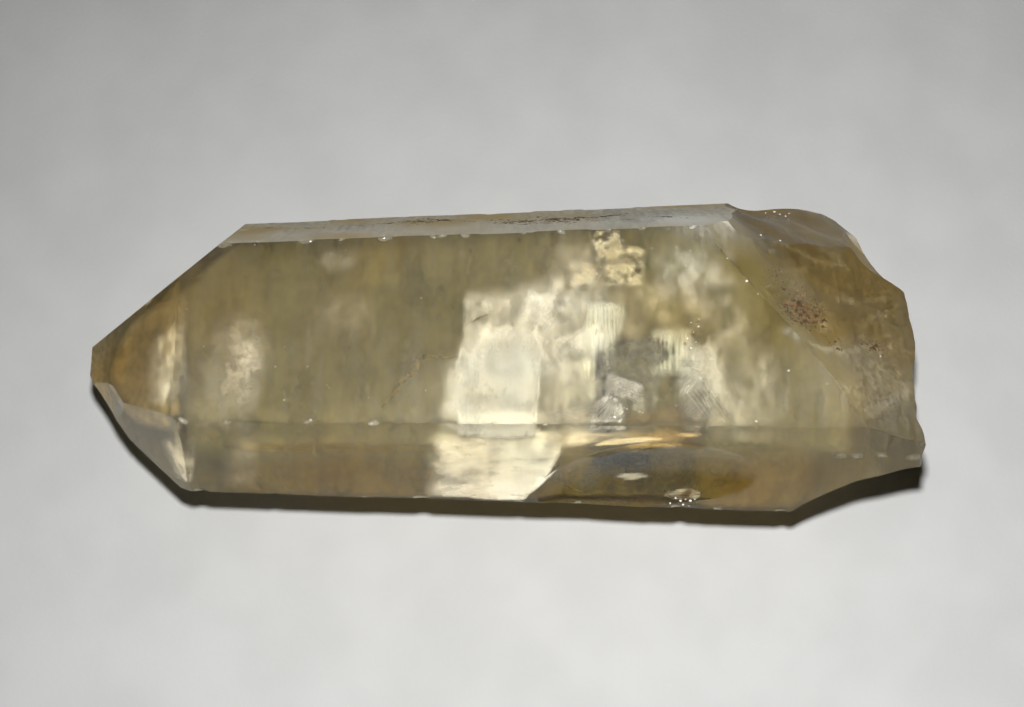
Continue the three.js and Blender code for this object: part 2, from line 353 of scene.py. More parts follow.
# %% The form of each break
def shoulder_relief(u, v):
    """A shallow shell about the place of a blow, with rings, steps and uneven ground."""
    from_blow = np.hypot(u - SHOULDER_BLOW[0], v - SHOULDER_BLOW[1])
    shell = SHOULDER_BEND * (from_blow - SHOULDER_LOW_RING) ** 2 - SHOULDER_DEPTH
    rough = ripple(from_blow, height=0.12, length=5.7) + ground(u, v, height=0.2, length=4, seed=11)
    fine = ripple(from_blow + 0.1 * v, height=0.012, length=1.1)
    fine = fine * ease(ground(u, v, height=1, length=5, seed=41))
    steps = sum(
        step(u, v, on_surface(points, *SHOULDER[:2]), height, reach)
        for points, height, reach in SHOULDER_STEPS
    )
    return shell + rough + fine + steps + hackle(u, v, seed=31, height=0.018)


def back_scoop_relief(u, v):
    """A flat sheet that climbs at its inner end and falls away at its outer one, with one dent."""
    rise = SCOOP_RISE[1] * np.maximum(0, SCOOP_RISE[0] - u) ** 2
    drop = SCOOP_DROP[1] * np.maximum(0, u - SCOOP_DROP[0]) ** 2
    hollow = dent(u, v, at=(-4.6, 6.5), reach=3.2, depth=1.5)
    rough = ripple(u + v, height=0.1, length=7) + ground(u, v, height=0.2, length=3.5, seed=12)
    return rise - drop - hollow + rough + hackle(u, v, seed=33, height=0.03)


def broken_end_relief(y, z):
    """The base: it falls away on all sides from its middle, and is the roughest ground of all."""
    back_fall, front_fall, upright_fall = END_FALL
    sideways = np.where(y > 0, back_fall, front_fall) * y * y
    rough = np.abs(ground(y, z, height=0.45, length=4, seed=13))
    rough = rough + ground(y, z, height=0.25, length=2.1, seed=14)
    hollow = dent(y, z, at=(-8.5, 8), reach=4, depth=1.0)
    fine = hackle(y, z, seed=35, height=0.06)
    return rough - sideways - upright_fall * z * z - hollow - END_DEPTH + fine


def bowl_relief(reach, depth):
    """A round bowl in slightly uneven ground."""
    def relief(u, v):
        bowl = depth * ((u * u + v * v) / reach**2 - 1)
        return bowl + ground(u, v, height=0.12, length=2.3, seed=15)
    return relief


def notch_relief(u, v):
    """A trough that runs down under the crystal, with flat ground beside it."""
    trough = NOTCH_DEPTH * (((u - NOTCH_MIDDLE) / NOTCH_REACH) ** 2 - 1)
    hollow = np.minimum(trough, NOTCH_DEPTH)
    rough = ground(u, v, height=0.12, length=2.3, seed=15) + hackle(u, v, seed=37, height=0.03)
    return hollow + NOTCH_BEND * v * v + rough


def front_chip_relief(u, v):
    """A long bent bowl, with rings about the blow at its end nearer the point."""
    half_length, half_width = FRONT_CHIP_REACH
    across = v + FRONT_CHIP_BEND[1] * np.minimum(0, u - FRONT_CHIP_BEND[0]) ** 2
    spread = (u / half_length) ** 2 + (across / half_width) ** 2
    from_blow = np.hypot(u + half_length, across)
    rings = ripple(from_blow, height=0.13, length=4.2) + ripple(from_blow, height=0.018, length=0.95)
    return FRONT_CHIP_DEPTH * (spread - 1) + rings * np.clip(1 - spread, 0, 1)


def break_wastes():
    forms = {
        "shoulder": (SHOULDER, shoulder_relief),
        "back scoop": (BACK_SCOOP, back_scoop_relief),
        "broken end": (BROKEN_END, broken_end_relief),
        "end bite": (END_BITE, bowl_relief(reach=4.6, depth=0.9)),
        "notch": (NOTCH, notch_relief),
        "front chip": (FRONT_CHIP, front_chip_relief),
        "tip chip": (TIP_CHIP, bowl_relief(reach=1.9, depth=0.2)),
    }
    made = [waste(name, *place, BREAK_CELL, relief) for name, (place, relief) in forms.items()]
    for name, (facing, out) in {"tip bevel": TIP_BEVEL, "tip wear": TIP_WEAR}.items():
        facing = Vector(facing).normalized()
        relief = grown_relief(seed=61, ledge_height=0.03)
        made.append(waste(name, facing * out, facing, POINT_SIZE, WEAR_CELL, relief))
    return made


# %% [markdown]
# ## Pits
# A growing face leaves small three-sided pits, point down. Each is cut with a three-sided cone.

# %% Pits on the top face
PITS = (  # place along and across the crystal, and width
    (16.6, -3.2, 1.3), (17.4, -2.2, 1.6), (17.9, -1.0, 1.1), (17.3, 2.7, 1.0), (8.7, 4.8, 0.8),
    (-16.8, 6.3, 1.2), (-26.2, 4.3, 0.7), (23.6, -8.2, 0.9),
)
PIT_DEPTH = 0.35  # of a pit's width


def top_face_height(x):
    facing = face_direction(0, PRISM_FACES["top"][2])
    return (PRISM_FACES["top"][1] - facing.x * x) / facing.z


def pit(x, y, width):
    mesh = bpy.data.meshes.new("pit")
    shape = bmesh.new()
    deep = width * PIT_DEPTH
    bmesh.ops.create_cone(
        shape, segments=3, radius1=0, radius2=width / 2, depth=2 * deep, cap_ends=True,
        matrix=Matrix.Translation((x, y, top_face_height(x))),
    )
    shape.to_mesh(mesh)
    shape.free()
    mark_surface(mesh, "pit")
    return add_object("pit", mesh)


# %% [markdown]
# ## Chips along the edges
# Edges that stand out get knocked, and each knock takes off a small flake and leaves a scar. The
# scars repeat along an edge, so Geometry Nodes makes them: an edge line becomes a curve, a few
# points are spread along it, and a squashed ball is put on each, turned and sized at random from a
# fixed seed. The balls then serve as cutters. The inputs are named, so each edge has its own count
# and size of chips. The steps that put a ball on each point are a helper of their own, because the
# bubbles and glints further down need the same ones.

# %% A node tree for chips along an edge
CHIP_SHAPE = (1.5, 0.75, 0.75)  # its length, width and depth, as shares of its size
CHIP_SUBDIVISIONS = 3
CHIP_SMALLEST = 0.4  # of the widest
CHIP_SHIFT = Vector((1.2, 0.1, 0.1))  # mm, along and across the edge
CHIP_TURN = Vector((0.5, 0.5, 0.5))  # radians


def link(tree, source, node, socket):
    tree.links.new(source, node.inputs[socket])


def named_input(tree, name, kind, value=None):
    socket = tree.interface.new_socket(name=name, in_out="INPUT", socket_type=kind)
    if value is not None:
        socket.default_value = value
    return socket.identifier


def random_value(tree, kind, lowest, highest, seed, offset):
    """A random value node; its seed is the tree's own seed plus a fixed offset."""
    node = tree.nodes.new("FunctionNodeRandomValue")
    node.data_type = kind
    pair = [s for s in node.inputs if s.enabled and s.name in ("Min", "Max")]
    for socket, value in zip(pair, (lowest, highest)):
        if hasattr(value, "is_output"):
            tree.links.new(value, socket)
        else:
            socket.default_value = value
    add = tree.nodes.new("ShaderNodeMath")
    add.inputs[1].default_value = offset
    tree.links.new(seed, add.inputs[0])
    link(tree, add.outputs[0], node, "Seed")
    return next(s for s in node.outputs if s.enabled)


def balls_on_points(tree, points, shape, subdivisions, turn, size, material):
    """Puts a squashed ball on each point, turned and sized, as plain geometry with a material."""
    ball = tree.nodes.new("GeometryNodeMeshIcoSphere")
    squash = tree.nodes.new("GeometryNodeTransform")
    place = tree.nodes.new("GeometryNodeInstanceOnPoints")
    real = tree.nodes.new("GeometryNodeRealizeInstances")
    finish = tree.nodes.new("GeometryNodeSetMaterial")
    ball.inputs["Radius"].default_value = 0.5
    ball.inputs["Subdivisions"].default_value = subdivisions
    squash.inputs["Scale"].default_value = shape
    link(tree, ball.outputs[0], squash, "Geometry")
    link(tree, points, place, "Points")
    link(tree, squash.outputs[0], place, "Instance")
    link(tree, turn, place, "Rotation")
    link(tree, size, place, "Scale")
    link(tree, place.outputs[0], real, "Geometry")
    link(tree, real.outputs[0], finish, "Geometry")
    link(tree, material, finish, "Material")
    return finish.outputs[0]


def chips_tree():
    tree = bpy.data.node_groups.new("chips along an edge", "GeometryNodeTree")
    named_input(tree, "Edge", "NodeSocketGeometry")
    ids = {
        "Chips": named_input(tree, "Chips", "NodeSocketInt", 5),
        "Widest": named_input(tree, "Widest", "NodeSocketFloat", 1.2),
        "Seed": named_input(tree, "Seed", "NodeSocketInt", 1),
        "Material": named_input(tree, "Material", "NodeSocketMaterial"),
    }
    tree.interface.new_socket(name="Scars", in_out="OUTPUT", socket_type="NodeSocketGeometry")
    given = tree.nodes.new("NodeGroupInput").outputs
    curve = tree.nodes.new("GeometryNodeMeshToCurve")
    spread = tree.nodes.new("GeometryNodeResampleCurve")
    nudge = tree.nodes.new("GeometryNodeSetPosition")
    link(tree, given["Edge"], curve, "Mesh")
    link(tree, curve.outputs[0], spread, "Curve")
    link(tree, given["Chips"], spread, "Count")
    link(tree, spread.outputs[0], nudge, "Geometry")
    jitter = random_value(tree, "FLOAT_VECTOR", -CHIP_SHIFT, CHIP_SHIFT, given["Seed"], 1)
    link(tree, jitter, nudge, "Offset")
    turn = random_value(tree, "FLOAT_VECTOR", -CHIP_TURN, CHIP_TURN, given["Seed"], 2)
    smallest = tree.nodes.new("ShaderNodeMath")
    smallest.operation = "MULTIPLY"
    smallest.inputs[1].default_value = CHIP_SMALLEST
    tree.links.new(given["Widest"], smallest.inputs[0])
    size = random_value(tree, "FLOAT", smallest.outputs[0], given["Widest"], given["Seed"], 3)
    scars = balls_on_points(
        tree, nudge.outputs[0], CHIP_SHAPE, CHIP_SUBDIVISIONS, turn, size, given["Material"],
    )
    link(tree, scars, tree.nodes.new("NodeGroupOutput"), "Scars")
    return tree, ids


def evaluated_mesh(thing):
    """The mesh that an object's modifiers leave, as plain data of its own."""
    return bpy.data.meshes.new_from_object(
        thing.evaluated_get(bpy.context.evaluated_depsgraph_get())
    )


def run_tree(name, mesh, tree, ids, values):
    """Runs a node tree on a mesh and gives back the plain mesh that it makes."""
    carrier = add_object(name, mesh)
    modifier = carrier.modifiers.new(name, "NODES")
    modifier.node_group = tree
    for key, value in values.items():
        modifier[ids[key]] = value
    made = evaluated_mesh(carrier)
    bpy.data.objects.remove(carrier)
    return made


# %% Scars on every edge
CHIPPED_EDGES = (  # start and end from the axis, how many chips, and the widest
    ((-29.3, 7.9, 12.1), (-8, 8.3, 12.7), 6, 1.3),
    ((-8, 8.3, 12.7), (18, 9.0, 13.3), 7, 0.8),
    ((-32, -10.4, 12.0), (4, -11.1, 13.1), 7, 0.9),
    ((-30, -15.4, 3.5), (26, -17.6, 3.6), 12, 1.2),
    ((-28, 15.6, -1.1), (20, 17.7, -1.2), 10, 1.3),
    ((-38.4, -10, 2.7), (-32.2, -15.2, 3.5), 4, 0.9),
    ((-41, 1.2, 6.2), (-32.6, 4.5, 12), 3, 0.9),
    ((-28.8, 7.9, 12.1), (-28.8, 15.5, -1.1), 4, 1.1),
    ((-18, -6.3, -13), (30, -8.2, -13), 8, 1.6),
    ((-18, 9.2, -13), (30, 11.2, -13), 8, 1.6),
    ((30.5, -12.5, 9.0), (38.5, -11.0, 6.5), 4, 1.1),
)


def scar_cutters():
    tree, ids = chips_tree()
    made = []
    for seed, (start, end, chips, widest) in enumerate(CHIPPED_EDGES, 1):
        edge = bpy.data.meshes.new("edge")
        edge.from_pydata([start, end], [(0, 1)], [])
        values = {"Chips": chips, "Widest": widest, "Seed": seed}
        scars = run_tree("scars", edge, tree, ids, values)
        mark_surface(scars, "scar")
        made.append(add_object(f"scars {seed}", scars))
    return made


# %% Cut the crystal
STOCK = (96, 40, 32)
SHARP = math.radians(20)


def stock():
    mesh = bpy.data.meshes.new("stock")
    shape = bmesh.new()
    bmesh.ops.create_cube(shape, size=1, matrix=Matrix.Diagonal((*STOCK, 1)))
    shape.to_mesh(mesh)
    shape.free()
    mark_surface(mesh, "stock")
    return add_object("stock", mesh)


def cut(block, cutters):
    """Takes every cutter's space out of the block, and gives back the mesh that is left."""
    for cutter in cutters:
        saw = block.modifiers.new(cutter.name, "BOOLEAN")
        saw.operation = "DIFFERENCE"
        saw.solver = "MANIFOLD"
        saw.object = cutter
    left = evaluated_mesh(block)
    for used in (*cutters, block):
        bpy.data.objects.remove(used)
    return left


crystal_mesh = cut(
    stock(),
    grown_wastes() + break_wastes() + [pit(*place) for place in PITS] + scar_cutters(),
)
crystal_mesh.name = "crystal"
print("crystal faces:", len(crystal_mesh.polygons))

# %% [markdown]
# ## Which finish goes where
# On one crystal the finish changes from face to face. The clear faces on top are finely etched, the
# others are dull from lying in clay, breaks are frosted by their hackle, and fresh chips are glassy.
# The cut kept a note of which surface each face belongs to, so the finish can follow it exactly. It
# is stored as attributes on the mesh: "frost" is how rough the surface is, "haze" is how much of it
# is milky, "growth" is how strongly growth lines show, and "brown" and "rust" are stains. A table
# sets each surface.

# %% Finish by surface
SURFACE_FINISH = {  # frost, haze, brown, growth
    "top": (0.24, 0.05, 0.22, 1.0),
    "upper front": (0.24, 0.05, 0.28, 1.0),
    "lower front": (0.45, 0.75, 0.95, 0.6),
    "bottom": (0.45, 0.70, 0.55, 0.6),
    "lower back": (0.45, 0.70, 0.60, 0.6),
    "upper back": (0.50, 1.05, 0.62, 0.7),
    "point top": (0.24, 0.05, 0.35, 0.4),
    "point upper front": (0.24, 0.14, 0.30, 0.4),
    "point lower front": (0.45, 0.70, 0.60, 0.4),
    "point bottom": (0.50, 0.70, 0.60, 0.4),
    "point lower back": (0.45, 0.70, 0.60, 0.4),
    "point upper back": (0.24, 0.15, 0.30, 0.4),
    "shoulder": (0.42, 0.10, 0.58, 0.6),
    "back scoop": (0.42, 0.12, 1.00, 0.5),
    "broken end": (0.45, 0.20, 0.55, 0.1),
    "end bite": (0.42, 0.32, 0.55, 0.0),
    "notch": (0.34, 0.26, 0.50, 0.0),
    "front chip": (0.12, 0.02, 0.25, 0.0),
    "tip chip": (0.15, 0.20, 0.20, 0.0),
    "tip bevel": (0.20, 0.18, 0.25, 0.0),
    "tip wear": (0.34, 0.25, 0.45, 0.0),
    "pit": (0.10, 0.10, 0.20, 0.0),
    "scar": (0.12, 0.22, 0.15, 0.0),
}
UNLISTED = (0.34, 0.3, 0.3, 0.0)

# %% [markdown]
# ## Stains and pale marks
# Over the table come soft round patches, such as the browner point, and a few strokes: pale or rusty
# lines that run along a step or an edge, and the ridges of the break. All are worked out from
# distances, which follow the crystal whatever its mesh looks like. Painting by hand would work too,
# but a distance can be read and changed in one row of a table.

# %% Patches and strokes
BROWN_PATCHES = (  # centre from the axis, reach, strength
    ((-41, 0, 6), 5.5, 0.45), ((-35, 5, 8), 5, 0.2), ((-28, 4, 12), 7, 0.3),
    ((-14, 6, 13), 8, 0.3), ((12, 9, 13), 5, 0.3), ((24, -13, 6), 6, 0.5),
    ((14.5, -11.3, 12), 3.0, 0.35), ((30, 8.5, 10), 6, 0.3), ((-18, -13, 7), 5, 0.3),
    ((18, 11, 9.5), 5, -0.5), ((13, 12, 8), 7, -0.4),
    ((8.6, 13.5, 5), 2.6, 0.6), ((30.2, -1.6, 11.9), 1.2, 0.7), ((36, 8, 3), 4, 0.9), ((34, 1, 9.5), 4, 0.3),
)
RUST_PATCHES = (
    ((28.6, 0.9, 11.9), 2.3, 0.95), ((31.8, -2.6, 11.0), 1.2, 0.7), ((35.8, -2.0, 9.4), 1.7, 0.6),
    ((26.8, 4.0, 11.6), 2.6, 0.45), ((28.3, 15.9, 0.7), 1.6, 0.7), ((24.4, 14.6, 3.4), 1.8, 0.9),
    ((4.5, 12.4, 7.0), 3.2, 0.55), ((0.5, 13.2, 5.2), 2.6, 0.4), ((-9.5, 14.0, 3.0), 3.0, 0.45),
)
CLEAR_PATCHES = (((21, 1.5, 13.4), 5.5, 0.2),)
PALE_PATCHES = (
    ((20.3, 11.5, 9.4), 1.7, 0.5), ((33.5, -6.0, 10.5), 5.0, 0.10), ((37, -9, 8.5), 4.0, 0.08),
    ((17.0, 13.0, 6.0), 3.0, 0.25), ((20, 10.8, 10.5), 4.0, 0.4),
)
PALE_STROKES = (  # points from the axis, half width, strength
    (((26.3, -1.8, 13.7), (27.7, -2.9, 13.4), (29.1, -3.4, 13.0), (30.8, -3.4, 12.2), (31.7, -3.0, 11.8)),
     0.3, 0.22),
    (((29.6, 3.2, 11.4), (30.0, 1.6, 11.6), (29.8, 0.2, 11.8), (30.6, -0.8, 11.4)), 0.25, 0.3),
    # painted highlight: a pale line along the step where the lamp glints
    (((21.0, 6.8, 13.4), (22.2, 3.6, 12.9), (23.6, 2.2, 12.6)), 0.25, 0.35),
)
RIDGES = (  # pale ridges of the break, as seen from above
    (((30.6, 1.8), (31.4, 0.3), (31.0, -0.9), (29.5, -1.5)), 0.33, 0.09),
    (((31.7, 3.3), (33.2, 2.8), (35.0, 3.1), (37.9, 3.9)), 0.37, 0.07),
    (((31.9, -3.6), (32.8, -3.2), (35.0, -2.3), (36.4, -2.6), (38.2, -1.6)), 0.37, 0.08),
    (((31.2, -7.2), (31.8, -7.7), (32.5, -8.2)), 0.33, 0.11),
    (((26.6, 9.2), (29.2, 7.9), (32.1, 7.1), (34.3, 7.2)), 0.37, 0.09),
    (((29.9, 10.6), (31.7, 9.4), (33.6, 7.9)), 0.33, 0.09),
    (((35.0, 0.3), (36.2, 1.3), (37.9, 1.8)), 0.33, 0.07),
    (((33.6, -10.1), (36.4, -8.5), (38.6, -7.0)), 0.45, 0.07),
    (((23.4, 3.6), (24.9, 1.4), (27.7, -2.0)), 0.27, 0.05),
    (((25.0, 6.0), (27.0, 5.2), (29.4, 5.9)), 0.30, 0.06),
    (((27.2, 13.6), (29.5, 12.2), (31.6, 12.4)), 0.37, 0.09),
)
BACK_VEINS = (  # rusty lines on the upper back face
    (((-26.1, 13.6, 2.5), (-18.7, 12.8, 4.6), (-11.8, 13.9, 3.0), (-6.9, 14.3, 2.8), (-3.4, 14.7, 2.4),
      (0.9, 13.2, 5.2), (3.9, 13.2, 5.6), (8.8, 13.8, 4.6), (13.8, 15.4, 2.2)), 0.45, 0.6),
    (((-9.0, 15.0, 1.4), (-4.0, 13.2, 4.8), (0.0, 12.4, 6.4), (5.0, 13.4, 5.0), (9.8, 12.2, 7.6),
      (15.0, 13.0, 6.4), (19.0, 11.6, 9.4)), 0.4, 0.55),
    (((2.0, 14.6, 2.6), (7.0, 12.8, 6.4), (11.0, 14.4, 3.6), (17.0, 12.6, 7.2)), 0.35, 0.5),
)


def patches(places, table):
    """The sum of soft round patches at each place."""
    total = np.zeros(len(places))
    for centre, reach, strength in table:
        away = np.linalg.norm(places - np.array(centre), axis=1)
        total += strength * np.exp(-((away / reach) ** 2))
    return total


def strokes(places, table):
    """The sum of soft lines through points at each place."""
    total = np.zeros(len(places))
    for points, width, strength in table:
        nearest = np.full(len(places), 1e9)
        for start, end in zip(np.array(points), np.array(points[1:])):
            run = end - start
            share = np.clip((places - start) @ run / (run @ run), 0, 1)
            nearest = np.minimum(nearest, np.linalg.norm(places - start - share[:, None] * run, axis=1))
        total += strength * np.exp(-((nearest / width) ** 2))
    return total


# %% Paint the finishes on the crystal
LOW_ON_BACK = (8, 5)  # the upper back face gets dull below this height, over this way down, mm
LOW_FROST = 0.15
LOW_BROWN = 0.25


def corner_data(mesh):
    """For each face corner: its place from the axis in mm, and the number of its surface."""
    places = np.empty(len(mesh.vertices) * 3, dtype=np.float32)
    mesh.vertices.foreach_get("co", places)
    corners = np.empty(len(mesh.loops), dtype=np.int32)
    mesh.loops.foreach_get("vertex_index", corners)
    sides = np.empty(len(mesh.polygons), dtype=np.int32)
    mesh.polygons.foreach_get("loop_total", sides)
    surface = np.empty(len(mesh.polygons), dtype=np.int32)
    mesh.attributes["surface"].data.foreach_get("value", surface)
    return places.reshape(-1, 3)[corners], np.repeat(surface, sides)


def paint(mesh, name, values):
    layer = mesh.attributes.new(name, "FLOAT", "CORNER")
    layer.data.foreach_set("value", np.clip(values, 0, 1).astype(np.float32))


places, surface = corner_data(crystal_mesh)
table = np.array([SURFACE_FINISH.get(name, UNLISTED) for name in SURFACES])
frost, haze, brown, growth = table[surface].T
ridges = strokes(places[:, :2], RIDGES) * (places[:, 2] > 0)
low_on_back = ease((LOW_ON_BACK[0] - places[:, 2]) / LOW_ON_BACK[1])
low_on_back = (surface == SURFACES.index("upper back")) * low_on_back
haze = haze - patches(places, CLEAR_PATCHES) + patches(places, PALE_PATCHES)
paint(crystal_mesh, "frost", frost + LOW_FROST * low_on_back)
paint(crystal_mesh, "haze", haze + strokes(places, PALE_STROKES) + ridges)
paint(crystal_mesh, "brown", brown + LOW_BROWN * low_on_back + patches(places, BROWN_PATCHES))
paint(crystal_mesh, "rust", patches(places, RUST_PATCHES) + strokes(places, BACK_VEINS))
paint(crystal_mesh, "growth", growth)
crystal_mesh.transform(Matrix.Scale(MM, 4) @ Matrix.Translation(AXIS_PLACE))
crystal_mesh.shade_smooth()
crystal_mesh.set_sharp_from_angle(angle=SHARP)
crystal = add_object("crystal", crystal_mesh)

# %% [markdown]
# ## Materials
# Blender's Principled shader covers everything here. Small helpers keep the node code short: one
# for a noise pattern on the piece's own Object coordinates, one for a smooth threshold, and one to
# mix two colours. Object coordinates stay with the piece, so a pattern doesn't swim when the camera
# moves.

# %% Material helpers
def new_material(name):
    mat = bpy.data.materials.new(name)
    mat.use_nodes = True
    return mat, mat.node_tree, mat.node_tree.nodes["Principled BSDF"]


def attribute(tree, name):
    node = tree.nodes.new("ShaderNodeAttribute")
    node.attribute_name = name
    return node.outputs["Fac"]


def noise(tree, size, detail=3.0, stretch=(1, 1, 1), roughness=0.55, turn=0.0):
    """Noise from 0 to 1 with lumps of about size mm, turned about Z, then stretched along each axis."""
    coords = tree.nodes.new("ShaderNodeTexCoord")
    around = tree.nodes.new("ShaderNodeMapping")
    around.inputs["Rotation"].default_value = (0, 0, turn)
    fit = tree.nodes.new("ShaderNodeMapping")
    fit.inputs["Scale"].default_value = [1 / (size * MM * part) for part in stretch]
    node = tree.nodes.new("ShaderNodeTexNoise")
    node.inputs["Scale"].default_value = 1.0
    node.inputs["Detail"].default_value = detail
    node.inputs["Roughness"].default_value = roughness
    link(tree, coords.outputs["Object"], around, "Vector")
    link(tree, around.outputs[0], fit, "Vector")
    link(tree, fit.outputs[0], node, "Vector")
    return node.outputs["Fac"]


def math_node(tree, operation, a, b=None, clamp=False):
    node = tree.nodes.new("ShaderNodeMath")
    node.operation = operation
    node.use_clamp = clamp
    for socket, value in zip(node.inputs, (a, b)):
        if value is None:
            continue
        if hasattr(value, "is_output"):
            tree.links.new(value, socket)
        else:
            socket.default_value = value
    return node.outputs[0]


def times(tree, *values):
    """Multiplies values and sockets together."""
    total = values[0]
    for value in values[1:]:
        total = math_node(tree, "MULTIPLY", total, value)
    return total


def threshold(tree, value, lowest, highest, start=0.0, end=1.0):
    """Goes smoothly from start to end as the value goes from lowest to highest."""
    node = tree.nodes.new("ShaderNodeMapRange")
    node.interpolation_type = "SMOOTHSTEP"
    link(tree, value, node, "Value")
    node.inputs["From Min"].default_value = lowest
    node.inputs["From Max"].default_value = highest
    node.inputs["To Min"].default_value = start
    node.inputs["To Max"].default_value = end
    return node.outputs[0]


def mix_colour(tree, share, a, b):
    node = tree.nodes.new("ShaderNodeMix")
    node.data_type = "RGBA"
    for socket, value in zip((node.inputs[0], node.inputs[6], node.inputs[7]), (share, a, b)):
        if hasattr(value, "is_output"):
            tree.links.new(value, socket)
        elif socket.type == "RGBA":
            socket.default_value = (*value, 1)
        else:
            socket.default_value = value
    return node.outputs[2]


# %% [markdown]
# ## Clear citrine
# The crystal is see-through, so its shader has full transmission and the index of refraction of
# quartz, 1.544. Its colour is inside it, not on it: light loses blue, then green, on its way
# through, which Volume Absorption does, so thick places are browner than thin ones. The surface only
# adds what lies on it: a milky haze that takes away some transmission, a brown film, and rust
# grains. The haze is mottled, and lines cross it where the crystal grew in steps. The clear faces are
# finely etched, with a roughness of 0.24 that varies by a tenth. It stays under 0.27, because above
# that the denoiser takes a face for a matt one and draws its grain over what lies below.

# %% The citrine material
QUARTZ_IOR = 1.544
PALE = (0.92, 0.91, 0.80)
BROWN = (0.60, 0.46, 0.21)
SHEEN = 0.2  # a dusty, etched face mirrors less than a polished one
RUST = (0.19, 0.115, 0.05)
RUST_DARK = (0.07, 0.04, 0.018)
TINT = (0.63, 0.555, 0.10)  # what is left of white light after a way through
TINT_DENSITY = 42.0
GRAIN_DEPTH = 0.05  # of the etched surface, mm


def rust_cover(tree):
    """How much of a place is rust: small grains that crowd together where the stain is strong."""
    grains = noise(tree, 0.45, 2, roughness=0.65)
    clumps = noise(tree, 1.6, 1)
    level = math_node(tree, "ADD", grains, times(tree, attribute(tree, "rust"), 0.26))
    level = math_node(tree, "ADD", level, threshold(tree, clumps, 0.3, 0.7, -0.07, 0.07))
    stained = threshold(tree, attribute(tree, "rust"), 0.08, 0.3)
    return times(tree, threshold(tree, level, 0.66, 0.74), stained)


def citrine_material():
    mat, tree, shader = new_material("clear_citrine")
    cloud = noise(tree, 9.0, 1)
    lines = noise(tree, 1.6, 1, (0.28, 3.0, 3.0))
    grain = noise(tree, 0.55, 1)
    brown_share = times(tree, attribute(tree, "brown"), threshold(tree, cloud, 0.30, 0.68, 0.4, 1.3))
    rust_share = rust_cover(tree)
    colour = mix_colour(tree, math_node(tree, "MINIMUM", brown_share, 1.0), PALE, BROWN)
    rust_colour = mix_colour(tree, threshold(tree, grain, 0.4, 0.62), RUST, RUST_DARK)
    tree.links.new(mix_colour(tree, rust_share, colour, rust_colour), shader.inputs["Base Color"])
    growth_line = times(tree, attribute(tree, "growth"), threshold(tree, lines, 0.3, 0.7, -0.3, 0.3))
    speckle = times(tree, attribute(tree, "frost"), threshold(tree, grain, 0.25, 0.75, -0.7, 0.7))
    mottle = times(tree, threshold(tree, cloud, 0.25, 0.75, 0.6, 1.4), math_node(tree, "ADD", speckle, 1.0),
                   math_node(tree, "ADD", growth_line, 1.0))
    cover = math_node(tree, "MAXIMUM", times(tree, attribute(tree, "haze"), mottle), rust_share)
    tree.links.new(math_node(tree, "SUBTRACT", 1.0, cover, clamp=True), shader.inputs["Transmission Weight"])
    rough = times(tree, attribute(tree, "frost"), threshold(tree, grain, 0.2, 0.8, 0.9, 1.1))
    rough = math_node(tree, "MAXIMUM", rough, times(tree, rust_share, 0.8))
    tree.links.new(rough, shader.inputs["Roughness"])
    shader.inputs["IOR"].default_value = QUARTZ_IOR
    shader.inputs["Specular IOR Level"].default_value = SHEEN
    bump = tree.nodes.new("ShaderNodeBump")
    bump.inputs["Distance"].default_value = GRAIN_DEPTH * MM
    link(tree, attribute(tree, "frost"), bump, "Strength")
    link(tree, grain, bump, "Height")
    tree.links.new(bump.outputs[0], shader.inputs["Normal"])
    tint = tree.nodes.new("ShaderNodeVolumeAbsorption")
    tint.inputs["Color"].default_value = (*TINT, 1)
    tint.inputs["Density"].default_value = TINT_DENSITY
    tree.links.new(tint.outputs[0], tree.nodes["Material Output"].inputs["Volume"])
    return mat


crystal_mesh.materials.clear()
crystal_mesh.materials.append(citrine_material())

# %% [markdown]
# ## Sheets inside the crystal
# Most of what shows inside a crystal is thin: a veil is a healed crack full of tiny bubbles, and a
# fresh crack is a film of air. Each is modelled as a very thin closed sheet at the depth where it
# lies, softly waved as real ones are. A volume of fog would be closer to the real thing in the
# clouds, but it is slow and noisy to render and can't be exported. One sheet can hold several milky
# parts. A part is a convex outline with its own strength, warmth and softness: a softness of 0.3 mm
# makes a crisp side, and 3 mm one that fades away. A corner may give the side after it a softness of
# its own. Where parts overlap, their milk adds up.

# %% A thin sheet with soft milky parts
SHEET_CELL = 0.25
SHEET_THICKNESS = 0.03
BARE = 0.004  # weaker milk than this is left out


def soft_polygon(u, v, corners, softness):
    """1 inside a convex outline, falling to 0 at its sides; a third value softens the next side."""
    inside = np.ones_like(u)
    for (au, av, *own), (bu, bv, *_) in zip(corners, corners[1:] + corners[:1]):
        du, dv = bu - au, bv - av
        depth = (du * (v - av) - dv * (u - au)) / math.hypot(du, dv)
        inside = inside * ease(depth / (own[0] if own else softness))
    return inside


def milky(u, v, parts):
    """The milk of all parts added up, and how warm its colour is."""
    milk, warm = np.full_like(u, 1e-6), np.zeros_like(u)
    for strength, warmth, softness, corners in parts:
        share = strength * soft_polygon(u, v, corners, softness)
        milk = milk + share
        warm = warm + warmth * share
    return milk, warm / milk


